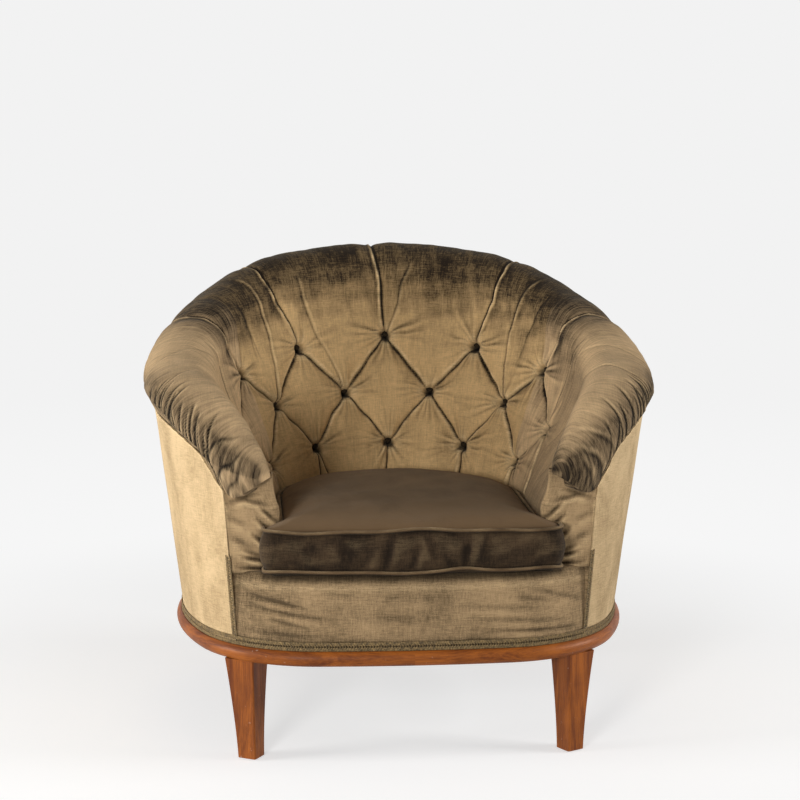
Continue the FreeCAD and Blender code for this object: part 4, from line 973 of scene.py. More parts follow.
def relief(angle, along, reach):
    """Depth of the buttoning over the cover, with painted shade in its folds and hollows, and rubbed
    pile with painted highlights on its ridges.
    """
    sunk, raised, fold, wear_and_highlight = (np.zeros(angle.shape) for count in range(4))
    # Folds aren't drawn with a ruler: each place is looked up a little to one side
    arc = angle * DEGREE
    angle = angle + waves(arc, along, 51, 4, 90.0) * WOBBLE / DEGREE
    along = along + waves(arc, along, 52, 4, 80.0) * WOBBLE
    uneven = 1.0 + 0.9 * waves(arc, along, 53, 4, 46.0)
    for one in pleats() + gathers():
        press_fold(one, angle, along, reach, uneven, sunk, raised, fold, wear_and_highlight)
    sunk = sunk ** (1.0 / POWER)
    for where, z, ridges in button_wrinkles():
        press_button(where, z, ridges, angle, along, reach, sunk, raised, fold, wear_and_highlight)
    return raised - sunk, fold, wear_and_highlight


BACK_STEP = 1.95
ARM_STEP = 1.65


def crispness(values, times):
    """How far each place stands above its neighbourhood."""
    smooth = values
    for i in range(times):
        for axis in (0, 1):
            edge = np.concatenate((smooth.take([0], axis), smooth, smooth.take([-1], axis)), axis)
            span = smooth.shape[axis]
            smooth = (edge.take(range(span), axis) + edge.take(range(1, span + 1), axis)
                      + edge.take(range(2, span + 2), axis)) / 3.0
    return values - smooth


def hollow(angle):
    """Rows of the back of the stuffed cover: inside the roll, then down behind the pleats."""
    sr, sz, cr, cz, _, _, ur, uz = roll_section(angle)
    thin = 1.0 - unit((np.abs(angle) - 122.0) / 13.5)
    nose = unit((np.abs(angle) - 131.0) / 1.5)
    in_r = sr + np.where(nose > 0.0, 4.0, 4.0 + 26.0 * thin)
    step = (ur - in_r) / 3.0

    def to_nose(usual, at_nose):
        return usual + (at_nose - usual) * nose

    return ((ur - 4.0, uz + 1.5 - 3.5 * nose),
            (to_nose(ur - 26.0, ur - step), to_nose(uz + 4.0, uz + 0.5)),
            (to_nose(cr + 6.0 * thin, in_r + step), to_nose(cz - 30.0, uz + 3.5)),
            (in_r, to_nose(sz - 10.0, uz + 6.0)),
            (seat_edge(angle) + 8.0 + 28.0 * thin, np.full(angle.shape, TUCK_Z)))


def with_column(grid, column, edge):
    """The grid with one more column before its first or after its last."""
    pair = (column[:, None], grid) if edge == 0 else (grid, column[:, None])
    return np.concatenate(pair, axis=1)


def cover_columns(first, last, step):
    """Angles of a cover's columns, and how far each lies past the end of the arm."""
    columns = int(math.radians(last - first) * 310.0 / step) + 1
    angle = np.linspace(first, last, columns)
    past = np.zeros(columns)
    nose = np.linspace(0.0, 1.0, NOSE_COLUMNS + 1)[1:]
    if last == ARM_END:
        angle = np.concatenate((angle, np.full(NOSE_COLUMNS, last)))
        past = np.concatenate((past, nose))
    if first == -ARM_END:
        angle = np.concatenate((np.full(NOSE_COLUMNS, first), angle))
        past = np.concatenate((nose[::-1], past))
    return angle, past


def cover_skin(angle, past, step):
    """The smooth skin of a cover before its buttoning, from behind the cushion up over the roll."""
    sr, sz, _, _, _, _, ur, uz = roll_section(angle)
    rows = int((560.0 - TUCK_Z) / step)
    z = TUCK_Z + (sz - TUCK_Z) * np.linspace(0.0, 1.0, rows)[:, None]
    radius = inside_radius(angle + 0.0 * z, z)
    over_r, over_z = roll_points(angle)
    # Past the end of the arm the roll closes on its hem, from the shoulder to the under edge
    reach = unit((over_r - sr) / (ur - sr))
    hem_r = sr + (ur - sr) * reach
    hem_z = sz + (uz - sz) * reach
    close = np.cos(0.5 * math.pi * past)
    over_r = hem_r + (over_r - hem_r) * close
    over_z = hem_z + (over_z - hem_z) * close
    lengths = np.hypot(np.diff(np.vstack((radius[-1:], over_r)), axis=0),
                       np.diff(np.vstack((z[-1:], over_z)), axis=0))
    along = np.vstack((z, z[-1:] + np.cumsum(lengths, axis=0)))
    radius = np.vstack((radius, over_r))
    height = np.vstack((z, over_z))
    # Beside the cushion the cover ends short of the arm front, and only the roll has the nose
    free = unit((height - sz + 14.0) / 14.0)
    free[:rows] = unit((z - sz + 4.0) / 4.0)
    turn = angle + np.zeros(height.shape)
    kept_in = np.clip(angle, 2.1 - ARM_END, ARM_END - 2.1)
    turn[:rows] = kept_in + (angle - kept_in) * free[:rows]
    skin = place(radius, turn, height)
    push = NOSE * MM * np.sin(0.5 * math.pi * past) * eased(free)
    skin[..., 1] -= push
    return skin, push, radius, height, along


def inside_shade(angle, radius, height, along, facing, tilt, pressed, past, fold, wear_and_highlight):
    """Painted shade and light over a cover, painted shade in its folds, and rubbed pile with painted
    highlights.

    On the back the painted shade is dark where the cloth faces up, on the arms where it faces down.
    """
    _, sz, cr, _, wr, _, _, _ = roll_section(angle[0])
    rise = along - sz
    # Shares of the way onto the arm, onto its front half and onto its end
    arm, front, end = (unit((np.abs(angle) - start) / width)
                       for start, width in ((66.0, 16.0), (84.0, 15.0), (120.0, 12.0)))
    on_roll = unit((height - sz) / 10.0)
    end = end * on_roll
    outside = on_roll * unit((radius - cr + 6.0) / (0.8 * (wr - cr) + 6.0))
    rim_side = unit((unit(rise / (along[-1] - sz)) - 0.47) / 0.24)
    # Painted shade on the back: light low down, dark from the shoulder over the crest where the cloth
    # faces up, lighter again towards the under edge, and painted light low on the left
    back_painted_shade = np.interp(rise, (-140.0, -70.0, -20.0, 30.0, 80.0, 125.0, 190.0),
                         (1.00, 0.68, 0.35, 0.09, 0.03, 0.02, 0.30))
    back_painted_shade = back_painted_shade + 0.16 * unit(-angle / 35.0) * unit(-rise / 40.0)
    # Painted shade on the arms: darker on the outer side where the roll turns away from up, far along
    # the roll on the front half, and at the end
    arm_painted_shade = 0.86 - 0.42 * outside * unit((0.80 - facing) / 0.65) - 0.54 * front * rim_side - 0.34 * end
    # Painted shade: the right arm is darker on its inner side
    inner_side = unit((0.75 - facing) / 0.4) * (1.0 - outside)
    arm_painted_shade = arm_painted_shade - inner_side * np.where(angle > 0.0, 0.46, 0.0)
    arm_painted_shade = np.maximum(arm_painted_shade, 0.15 + 0.10 * waves(angle * DEGREE, along, 91, 4, 60.0))
    # Painted highlights where the buttoned cloth stands above its neighbourhood and painted shade where
    # it lies below, at a small and a large size
    ridge = np.clip(crispness(pressed, 5), -2.6, 2.2)
    swell = np.clip(crispness(pressed, 40), -6.0, 6.0)
    calm = 1.0 - 0.6 * end
    pile_and_shade = back_painted_shade + (arm_painted_shade - back_painted_shade) * arm + (0.22 - 0.08 * arm) * ridge * calm + 0.02 * swell
    calm = calm * (arm + (1.0 - arm) * np.clip(1.0 - rise / 70.0, 0.25, 1.0))
    calm = calm * unit((ARM_END - np.abs(angle)) / 0.8)
    # Painted relief shading: darker where the buttoned cloth turns up from the skin, lighter where it
    # turns down, and painted shade past the end of the arm
    pile_and_shade = pile_and_shade - (1.9 - 1.3 * arm) * np.clip(tilt, -0.45, 0.45) * calm - 0.12 * past
    pile_and_shade = np.where(pile_and_shade > 0.5, 0.5 + 0.33 * np.tanh((pile_and_shade - 0.5) / 0.33), pile_and_shade)
    # Rubbed pile with painted highlights on the ridges, less far along the arm rolls, and painted shade
    # in the hollows there
    wear_and_highlight = unit(wear_and_highlight + 0.25 * np.clip(ridge - 0.5, 0.0, 1.5)) * (1.0 - 0.7 * arm * rim_side)
    fold = unit(fold + 0.30 * arm * rim_side * np.clip(0.3 - ridge, 0.0, 1.5))
    return {"pile_and_shade": pile_and_shade, "fold": fold, "wear_and_highlight": wear_and_highlight}


def tufted_cover(name, first, last, node):
    """One length of the buttoned inside with its roll, as a closed stuffed skin."""
    of_back = first < 0.0 < last
    step = BACK_STEP if of_back else ARM_STEP
    columns, past = cover_columns(first, last, step)
    skin, push, radius, height, along = cover_skin(columns, past, step)
    angle = np.broadcast_to(columns, radius.shape)
    # Buttoning, pressed in square to the skin and gone where the cushion hides it
    depth, fold, wear_and_highlight = relief(angle, along, radius)
    depth = depth + waves(angle * DEGREE * 1.7, along * 0.8, 77, 6, 95.0) * 2.2
    pressed = np.where(depth > 0.0, depth * unit((height - 372.0) / 25.0), depth)
    depth = pressed * unit((ARM_END - np.abs(angle)) / 0.8)
    normal = grid_normals(skin)
    points = skin + normal * depth[..., None] * MM
    facing = normal[..., 2]
    tilt = grid_normals(points)[..., 2] - facing
    values = inside_shade(angle, radius, height, along, facing, tilt, pressed, past, fold, wear_and_highlight)
    # The hidden back of the cover, which ends where the front began
    kept_back = np.clip(columns, 2.4 - ARM_END, ARM_END - 2.4)
    back = np.stack([place(r, kept_back, z) for r, z in hollow(columns)])
    hidden = len(back) + 1
    points = np.concatenate((points, back, points[:1]))
    along = np.vstack((along, along[-1:] + np.linspace(20.0, 500.0, hidden)[:, None]))
    uv = np.stack((np.radians(columns) * 0.33 + 0.0 * along, along * MM), -1)
    for key, value in values.items():
        values[key] = np.vstack((value, np.tile(value[-1:], (hidden, 1))))
    # Under the nose the cloth turns back to the arm front
    push = np.vstack((push, np.zeros((hidden, len(columns)))))
    for edge in (0, -1):
        if past[edge] > 0.0:
            under = points[:, edge] + push[:, edge, None] * np.array((0.0, 1.0, 0.0))
            points = with_column(points, under, edge)
            uv = with_column(uv, uv[:, edge] + np.array((0.012, 0.0)), edge)
            # Painted shade on the cloth that turns back under the nose
            for key, shade in (("pile_and_shade", 0.1), ("fold", 0.9), ("wear_and_highlight", 0.1)):
                values[key] = with_column(values[key], np.full(len(under), shade), edge)
    stuffed(name, points, uv, values, velvet("inside" if of_back else "arms"), "chair",
            "buttoned_velvet", node, fill=0.75)


class CHAIR_OT_buttoned_inside(bpy.types.Operator):
    """Buttoned inside of the back and arms with the roll over them"""
    bl_idname = "chair.buttoned_inside"
    bl_label = "Buttoned inside"

    def execute(self, context):
        tufted_cover("buttoned_back", -BACK_SEAM, BACK_SEAM, "inside_back_cover")
        tufted_cover("buttoned_arm_right", BACK_SEAM, ARM_END, "inside_arm_cover_right")
        tufted_cover("buttoned_arm_left", -ARM_END, -BACK_SEAM, "inside_arm_cover_left")
        return {"FINISHED"}


class CHAIR_OT_buttons(bpy.types.Operator):
    """Sixteen buttons covered in the same velvet, drawn together behind"""
    bl_idname = "chair.buttons"
    bl_label = "Covered buttons"

    def execute(self, context):
        deselect()
        bpy.ops.mesh.primitive_uv_sphere_add(segments=28, ring_count=16, radius=1.0)
        button = context.active_object
        co = np.empty(len(button.data.vertices) * 3)
        button.data.vertices.foreach_get("co", co)
        x, y, z = co.reshape(-1, 3).T
        # A flattened dome whose edge puckers where the velvet is gathered under it
        pucker = 1.0 + 0.035 * np.cos(np.arctan2(y, x) * 11.0) * np.hypot(x, y) ** 2
        dome = np.where(z > 0.0, z * 0.52, z * 0.30)
        shaped = np.stack((x * pucker, y * pucker, dome), -1) * sizes().button_radius
        button.data.vertices.foreach_set("co", shaped.astype(np.float32).ravel())
        pieces = [self.placed_copy(button, angle, z) for angle, z in button_places()]
        bpy.data.objects.remove(button)
        deselect()
        for piece in pieces:
            piece.select_set(True)
        context.view_layer.objects.active = pieces[0]
        bpy.ops.object.join()
        obj = context.active_object
        obj.name = "covered_buttons"
        obj.data.transform(obj.matrix_world)
        obj.matrix_world.identity()
        layer = obj.data.uv_layers[0]
        layer.name = "cloth"
        flat = np.empty(len(layer.data) * 2, np.float32)
        layer.data.foreach_get("uv", flat)
        layer.data.foreach_set("uv", flat * 0.04)
        # Painted shade: the buttons are darkened as they sit deep in their hollows
        for key, value in (("pile_and_shade", 0.1), ("fold", 0.7), ("wear_and_highlight", 0.0)):
            write_value(obj.data, key, np.full(len(obj.data.vertices), value))
        smooth_shaded(obj)
        finished(obj, velvet("inside"), "chair", "buttoned_velvet", "buttons")
        return {"FINISHED"}

    def placed_copy(self, button, angle, z):
        """A copy of the button, deep in its pit and square to the cover there."""
        copy = button.copy()
        copy.data = button.data.copy()
        bpy.context.scene.collection.objects.link(copy)
        heights = np.array((z, z + 10.0))
        base, above = place(inside_radius(angle, heights) + 21.0, angle, heights)
        rise = Vector(above - base).normalized()
        turn = math.radians(angle)
        front = Vector((math.cos(turn), -math.sin(turn), 0.0)).cross(rise)
        turned = Matrix((rise.cross(front), rise, front)).transposed()
        copy.matrix_world = Matrix.Translation(base) @ turned.to_4x4()
        return copy


# Outside cover

def outside_cover(name, first, last, node):
    """One length of the smooth outside cover, from the rim to the underside of the roll."""
    angle = np.linspace(last, first, 2 + int((last - first) / 0.7))
    share = np.linspace(0.0, 1.0, 100)[:, None]
    low, high, top = outside_edges(angle)
    foot = RIM_TOP + 0.2
    z = foot + (top - foot) * share
    u = np.radians(angle) * 400.0 + 0.0 * z
    from_seam = np.abs(np.abs(angle) - BACK_SEAM)
    soft = unit((SIDE_SEAM - np.abs(angle)) / 4.0) * np.sin(math.pi * share) ** 0.6
    soft = soft * (0.3 + 0.7 * unit(from_seam / 4.0))
    radius = low + (high - low) * share + waves(u, z, 5, 5, 260.0) * 1.6 * soft
    pucker = np.sin(u / 3.1 + 2.0 * np.sin(u / 37.0)) * np.exp(-(top - z) / 16.0) * 0.7
    radius = radius - 1.1 * bell(from_seam, 0.0, 0.35) + pucker
    pile_and_shade = 0.70 + 0.38 * waves(u, z * 0.35, 11, 6, 190.0) + 0.12 * np.clip((z - 300.0) / 150.0, -1.0, 1.0)
    over_braid = z - RIM_TOP - 14.0
    wear_and_highlight = 0.8 * np.exp(-(top - z) / 2.5) + 0.5 * np.exp(-over_braid / 4.0) * (over_braid > 0.0)
    values = {"pile_and_shade": pile_and_shade, "fold": 0.6 * bell(from_seam, 0.0, 0.12) + 0.0 * z, "wear_and_highlight": wear_and_highlight}
    laid(name, place(radius, angle, z), np.stack((u, z), -1) * MM, values, velvet("outside"),
         "outside_velvet", node)


class CHAIR_OT_outside_cover(bpy.types.Operator):
    """Smooth velvet outside of the back and the arms"""
    bl_idname = "chair.outside_cover"
    bl_label = "Outside cover"

    def execute(self, context):
        outside_cover("outside_back", -BACK_SEAM, BACK_SEAM, "outside_back_cover")
        outside_cover("outside_arm_right", BACK_SEAM, SIDE_SEAM, "outside_arm_cover_right")
        outside_cover("outside_arm_left", -SIDE_SEAM, -BACK_SEAM, "outside_arm_cover_left")
        return {"FINISHED"}


# Front

# Height of the apron's upright part, and how far the border roll over it runs in and up
APRON_UPRIGHT = 100.0
BORDER_REACH = 12.5
BORDER_RISE = 14.0
# Creases of the apron: start, end, depth and width
APRON_CREASES = (
    (-250.0, 262.0, -157.0, 243.0, 3.4, 4.4), (-248.0, 244.0, -120.0, 226.0, 2.8, 5.0),
    (-225.0, 228.0, -160.0, 214.0, 1.8, 4.5), (60.0, 246.0, 190.0, 238.0, 1.8, 5.5),
    (90.0, 226.0, 250.0, 214.0, 2.2, 5.5), (-90.0, 232.0, 20.0, 226.0, 1.2, 7.0),
    (110.0, 206.0, 275.0, 201.0, 3.4, 4.6), (180.0, 270.0, 270.0, 240.0, 2.0, 5.0),
    (-60.0, 262.0, 60.0, 258.0, 1.1, 7.0), (-270.0, 206.0, -120.0, 200.0, 1.6, 5.0),
    (150.0, 258.0, 230.0, 246.0, 1.6, 4.5), (-140.0, 270.0, -80.0, 262.0, 1.3, 5.0),
)


class CHAIR_OT_front_apron(bpy.types.Operator):
    """Velvet apron stretched over the front rail and its border roll"""
    bl_idname = "chair.front_apron"
    bl_label = "Front apron"

    def execute(self, context):
        seam = heading_at(SIDE_SEAM, COVER_OFFSET) + 0.05
        headings = np.linspace(seam, 360.0 - seam, 260)
        way_out = np.stack((np.sin(np.radians(headings)), np.cos(np.radians(headings))), -1)
        # Profile: upright, over the border roll and in under the cushion
        foot = RIM_TOP + 0.4
        profile = [(COVER_OFFSET, foot + APRON_UPRIGHT * i / 44.0) for i in range(45)]
        upright_rows = len(profile)
        for i in range(1, 13):
            q = 0.5 * math.pi * i / 12.0
            profile.append((COVER_OFFSET - BORDER_REACH * (1.0 - math.cos(q)),
                            foot + APRON_UPRIGHT + BORDER_RISE * math.sin(q)))
        for i in range(1, 7):
            profile.append((COVER_OFFSET - BORDER_REACH - 2.2 * i, APRON_TOP - 0.02 * i))
        offsets, heights = np.array(profile).T
        points = np.array([[(*rim_point(heading, offset), height) for heading in headings]
                           for offset, height in profile])
        # Beside the arm fronts the apron runs straight up to them
        upright = 0.85 * unit((np.abs(points[..., 0]) - 225.0) / 60.0)
        points[..., :2] += ((COVER_OFFSET - offsets)[:, None] * upright)[..., None] * way_out
        x, z = points[..., 0], points[..., 2]
        belly = 1.6 * np.sin(math.pi * unit((z - RIM_TOP - 8.0) / 100.0))
        top = unit((z - 278.0) / 14.0)
        free = unit((275.0 - np.abs(x)) / 25.0) * (1.0 - top)
        sink = creases(x, z, APRON_CREASES) * free
        over_braid = np.clip(z - RIM_TOP - 13.0, 0.0, None)
        push = (belly + waves(x, z, 3, 5, 170.0) * 1.3) * free - sink - 2.2 * np.exp(-over_braid / 3.0)
        points[..., :2] += push[..., None] * way_out
        # The ends of the apron are turned in under the outside covers
        under = np.linspace(SIDE_SEAM - 2.5, SIDE_SEAM - 0.1, 6)
        tucked = place(outside_radius(under, heights[:, None]) - 3.0, under, heights[:, None]) / MM
        mirrored = tucked[:, ::-1] * np.array((-1.0, 1.0, 1.0))
        points = np.concatenate((tucked, points, mirrored), axis=1)
        sink, top, over_braid, x, z = (np.pad(a, ((0, 0), (len(under), len(under))), mode="edge")
                                       for a in (sink, top, over_braid, x, z))
        rise = heights + 8.0 * (np.arange(len(heights)) >= upright_rows)
        uv = np.stack((way_along(points[0, :, :2]) + 0.0 * x, rise[:, None] + 0.0 * x), -1)
        # Random patches of the pile, darker towards the left end, with painted shade in the creases, at
        # the top under the cushion and just above the braid
        pile_and_shade = 0.60 + 0.45 * waves(x, z, 8, 6, 210.0) - 0.18 * np.clip(sink, -1.5, 3.0) - 0.30 * top
        pile_and_shade = pile_and_shade - 0.20 * unit((-x - 60.0) / 130.0) - 0.35 * np.exp(-over_braid / 5.0)
        # Painted shadow under the cushion, painted shade along the braid, and rubbed pile with a painted
        # highlight along the border roll
        under_cushion = unit((z - 281.0) / 7.0) * unit((236.0 - np.abs(x)) / 8.0)
        values = {"pile_and_shade": pile_and_shade, "fold": 0.5 * np.exp(-over_braid / 2.2) + 0.7 * under_cushion,
                  "wear_and_highlight": 0.2 * bell(z, 276.0, 5.0)}
        laid("velvet_apron", points * MM, uv * MM, values, velvet("front"), "front_velvet",
             "front_apron", fill=0.6)
        return {"FINISHED"}


# Plane and inner corner of the arm fronts, their upper edge, and where their soft face begins
FACING_FRONT = -308.5
CORNER_RADIUS = 9.5
FACING_TOP = 446.0
FACE_START = 20.8
# Creases of an arm front, across and up: start, end, depth and width
FACING_FOLDS = (
    (8.0, 322.0, 44.0, 352.0, 3.4, 3.4), (6.0, 344.0, 38.0, 376.0, 3.0, 3.2),
    (5.0, 366.0, 32.0, 394.0, 2.4, 3.0), (10.0, 305.0, 60.0, 318.0, 3.6, 3.2),
    (8.0, 296.0, 70.0, 300.0, 2.8, 3.0), (44.0, 330.0, 78.0, 350.0, 1.4, 5.0),
    (52.0, 366.0, 84.0, 380.0, 1.2, 5.0), (18.0, 398.0, 60.0, 408.0, 2.0, 4.0),
    (20.0, 312.0, 66.0, 332.0, 1.8, 3.6), (30.0, 416.0, 80.0, 400.0, 1.8, 4.0),
)
# Inner edge of an arm front, beyond the seat's half width, at some heights: it leans out with the tub
INNER_AT = ((292.0, 365.0, 392.0, 409.0, 430.0, 446.0), (-1.4, -1.4, -0.6, 3.4, 6.4, 7.4))


def facing_line(z, seam_x, seam_y):
    """Line of an arm front at a height, from inside the arm round its corner to the side seam."""
    inner = SEAT_HALF_WIDTH + np.interp(z, *INNER_AT)
    corner = CORNER_RADIUS - 6.0 * unit((z - 396.0) / 20.0)
    corner_x, corner_y = inner + corner, FACING_FRONT + corner + 0.5
    # High up it runs on behind the inside cover
    reach_in = 0.5 + 24.0 * unit((z - 380.0) / 24.0)
    line = [(inner + 9.0 + reach_in, corner_y + 18.0 + 0.3 * reach_in), (inner + 9.0, corner_y + 18.0),
            (inner + 1.4, corner_y + 9.0), (inner, corner_y)]
    for k in range(1, 9):
        q = 0.5 * math.pi * k / 8.0
        line.append((corner_x - corner * math.cos(q), corner_y - corner * math.sin(q)))
    front = FACING_FRONT - 0.4
    line += [(seam_x - 14.0, front), (seam_x - 4.0, 0.6 * front + 0.4 * seam_y), (seam_x, seam_y)]
    return np.array(line)


def arm_front(name, side, node):
    """Front of one arm: wraps from inside the arm round a soft corner to the side seam."""
    columns, rows = 96, 120
    points = np.zeros((rows, columns, 3))
    cloth = np.zeros((rows, columns, 2))
    turn = math.radians(SIDE_SEAM)
    seam_top = outside_edges(SIDE_SEAM)[2]
    for i, z in enumerate(np.linspace(APRON_TOP - 1.5, FACING_TOP, rows)):
        reach = outside_radius(SIDE_SEAM, min(z, seam_top)) - 2.6
        line = facing_line(z, reach * math.sin(turn), AXIS_Y + reach * math.cos(turn) - 0.5)
        lengths = way_along(line)
        way = np.linspace(0.0, lengths[-1], columns)
        points[i] = np.stack((np.interp(way, lengths, line[:, 0]), np.interp(way, lengths, line[:, 1]),
                              np.full(columns, z)), -1)
        cloth[i] = np.stack((way - lengths[1], np.full(columns, z)), -1)
    u, z = cloth[..., 0], cloth[..., 1]
    face, to_seam = u - FACE_START, u.max() - u
    bulge = (4.2 + 1.2 * side) * bell(face, 9.0, 13.0) * bell(z, 382.0, 17.0)
    puff = 4.5 * np.sin(math.pi * unit(face / face.max())) ** 1.2
    puff = puff * unit((z - APRON_TOP) / 25.0) * np.clip((440.0 - z) / 30.0, 0.2, 1.0)
    sink = creases(face, z, FACING_FOLDS)
    push = bulge + puff + waves(u, z, 17, 4, 60.0) * 0.8 - sink
    push = push * unit(u / 10.0) * unit(to_seam / 6.0)
    points = points + grid_normals(points) * push[..., None]
    # Random patches of the pile, with painted shade in the creases and high up under the roll
    pile_and_shade = 0.78 + 0.35 * waves(u, z, 29, 5, 90.0) - 0.20 * np.clip(sink, -1.5, 3.0)
    pile_and_shade = pile_and_shade - 0.35 * unit((z - 415.0) / 25.0)
    # Painted shade in the creases and along the foot of the arm front
    fold = 0.8 * unit(sink / 4.0) + 0.7 * np.exp(-(z - APRON_TOP + 1.5) / 3.0)
    # Shade where the ear of the cushion presses against it
    beside = (368.0 - z) / 10.0
    fold = fold + 0.85 * bell(points[..., 0], 227.0, 6.5) * unit(beside)
    fold = fold + 0.35 * unit((points[..., 0] < 222.0) * beside)
    # Rubbed pile with painted highlights on the raised lips of the creases, and rubbed pile along the
    # seam edge
    values = {"pile_and_shade": pile_and_shade, "fold": unit(fold), "wear_and_highlight": 0.5 * unit(-sink) + 0.6 * bell(to_seam, 0.0, 2.0)}
    if side < 0.0:
        points = points[:, ::-1] * np.array((-1.0, 1.0, 1.0))
        cloth = cloth[:, ::-1]
        values = {key: value[:, ::-1] for key, value in values.items()}
    laid(name, points * MM, cloth * MM, values, velvet("front"), "front_velvet", node, fill=0.6)


class CHAIR_OT_arm_fronts(bpy.types.Operator):
    """Soft fronts of the two arms below the roll"""
    bl_idname = "chair.arm_fronts"
    bl_label = "Arm fronts"

    def execute(self, context):
        arm_front("arm_front_right", 1.0, "arm_facing_right")
        arm_front("arm_front_left", -1.0, "arm_facing_left")
        return {"FINISHED"}


# Cushion

# Heights of the underside and of the two seams, and rise of the crown
CUSHION_BOTTOM = 295.9
SEAM_LOW = 300.0
SEAM_HIGH = 362.0
CROWN = 27.0
# Half width behind the arm fronts, half width and back edge of the ears before them
CUSHION_HALF = 196.0
EAR_HALF = 224.5
EAR_BACK = -319.0
# Front edge at the corners, how far it turns there in degrees, and the middle of the back
CUSHION_FRONT = -350.5
FRONT_TURN = 4.0
CUSHION_BACK = 141.0
# Radii of the front corners and of the ears
CORNER = 12.0
EAR_CORNER = 4.2


def arc(x, y, radius, start, end, count):
    """Points on an arc about a centre, from one direction to another, in degrees."""
    turn = np.radians(np.linspace(start, end, count))
    return np.stack((x + radius * np.cos(turn), y + radius * np.sin(turn)), -1)


def cushion_outline(inset, spacing):
    """Outline of the cushion from above, moved inwards by an inset, as evenly spaced points."""
    half, ear = CUSHION_HALF - inset, EAR_HALF - inset
    front, ear_back = CUSHION_FRONT + inset, EAR_BACK - inset
    right = np.vstack((
        arc(0.0, CUSHION_BACK - inset - half, half, 90.0, 0.0, 61),
        arc(half + EAR_CORNER, ear_back + EAR_CORNER, EAR_CORNER, 180.0, 270.0, 6),
        arc(ear - EAR_CORNER, ear_back - EAR_CORNER, EAR_CORNER, 90.0, 0.0, 6),
        arc(ear - CORNER, front + CORNER, CORNER, 0.0, FRONT_TURN - 90.0, 9)))
    end_x, end_y = right[-1]
    bow = end_x * math.tan(0.5 * math.radians(FRONT_TURN))
    x = end_x * (1.0 - np.arange(1, 41) / 40.0)
    right = np.vstack((right, np.stack((x, end_y - bow * (1.0 - (x / end_x) ** 2)), -1)))
    left = right[-2:0:-1] * np.array((-1.0, 1.0))
    loop = closed(np.vstack((right, left)))
    lengths = way_along(loop)
    way = np.linspace(0.0, lengths[-1], int(lengths[-1] / spacing), endpoint=False)
    return np.stack((np.interp(way, lengths, loop[:, 0]), np.interp(way, lengths, loop[:, 1])), -1)


def seam_wave(x, y, low):
    """How far a seam of the cushion dips or rises along the front."""
    front = unit((-y - 300.0) / 40.0)
    if low:
        wave = 4.4 * bell(x, 75.0, 30.0) - 2.2 * bell(x, -15.0, 40.0)
        wave = wave + 2.4 * bell(x, -200.0, 45.0) + 2.5 * bell(x, 205.0, 30.0)
        return wave * front
    wave = 2.2 * np.sin((x + 60.0) / 46.0) + 1.2 * np.sin(x / 19.0 + 1.0)
    return (wave + 1.2) * front


# Creases of the boxing along the front: start, end, depth and width
BOXING_FOLDS = (
    (-48.0, 300.0, -34.0, 352.0, 3.8, 6.5), (-6.0, 303.0, 6.0, 340.0, 3.2, 5.5),
    (18.0, 356.0, 34.0, 316.0, 2.4, 6.0), (76.0, 302.0, 82.0, 352.0, 4.2, 6.0),
    (112.0, 358.0, 104.0, 322.0, 2.2, 6.0), (-120.0, 352.0, -96.0, 322.0, 2.0, 9.0),
    (-170.0, 345.0, -140.0, 330.0, 1.8, 10.0), (160.0, 318.0, 186.0, 340.0, 1.4, 9.0),
    (44.0, 330.0, 60.0, 304.0, 2.0, 6.0), (-80.0, 306.0, -70.0, 330.0, 2.2, 7.0),
)
# Rows of the crown from its seam inwards: share of its rise, size, and how far its ears stand out
CROWN_STEPS = ((0.0, 1.0, 1.0), (0.16, 0.985, 0.80), (0.32, 0.955, 0.60), (0.56, 0.89, 0.44),
               (0.78, 0.78, 0.37), (0.92, 0.62, 0.34), (0.985, 0.42, 0.33), (1.0, 0.2, 0.33),
               (1.0, 0.0, 0.33))
# The parts of the cushion's skin
BOTTOM, BOXING, TOP = 0, 1, 2


def cushion_skin(spacing):
    """Rows of places over the cushion, their cloth coordinates and parts, the ways out and along."""
    loop = cushion_outline(0.0, spacing)
    out = closed(loop_outward(loop))
    loop = closed(loop)
    way = way_along(loop)
    middle_y = 0.5 * (CUSHION_FRONT + CUSHION_BACK)
    front = unit((-loop[:, 1] - 300.0) / 25.0)
    side = unit((np.abs(loop[:, 0]) - 150.0) / 40.0) * (1.0 - front)
    belly = 10.0 * front + 6.0 * (1.0 - front) * (1.0 - side) + 4.5 * side
    rows, cloth, part = [], [], []

    def panel(scale, ear, z, kind):
        at = np.abs(loop[:, 0])
        at = np.minimum(at, CUSHION_HALF) + np.maximum(at - CUSHION_HALF, 0.0) * ear
        x = np.sign(loop[:, 0]) * at * scale
        y = middle_y + (loop[:, 1] - middle_y) * scale
        rows.append(np.column_stack((x, y, np.full(len(x), z))))
        cloth.append(np.column_stack((x, y)))
        part.append(kind)

    for scale in (0.0, 0.3, 0.6, 0.8, 0.9, 0.95, 0.975):
        panel(scale, 1.0, CUSHION_BOTTOM + 0.5, BOTTOM)
    panel(0.992, 1.0, CUSHION_BOTTOM + 1.8, BOTTOM)
    for t in np.linspace(0.0, 1.0, int((SEAM_HIGH - SEAM_LOW) / 2.0) + 1):
        spot = loop + out * (belly * math.sin(math.pi * t) ** 0.72)[:, None]
        z = np.full(len(loop), SEAM_LOW + (SEAM_HIGH - SEAM_LOW) * t)
        rows.append(np.column_stack((spot, z)))
        cloth.append(np.column_stack((way, z)))
        part.append(BOXING)
    steps = np.array(CROWN_STEPS).T
    index = np.arange(len(CROWN_STEPS))
    for s in np.linspace(0.0, index[-1], 45)[1:]:
        rise, scale, ear = (np.interp(s, index, step) for step in steps)
        panel(scale, ear, SEAM_HIGH + CROWN * rise, TOP)
    return np.stack(rows), np.stack(cloth), np.array(part)[:, None], out, way


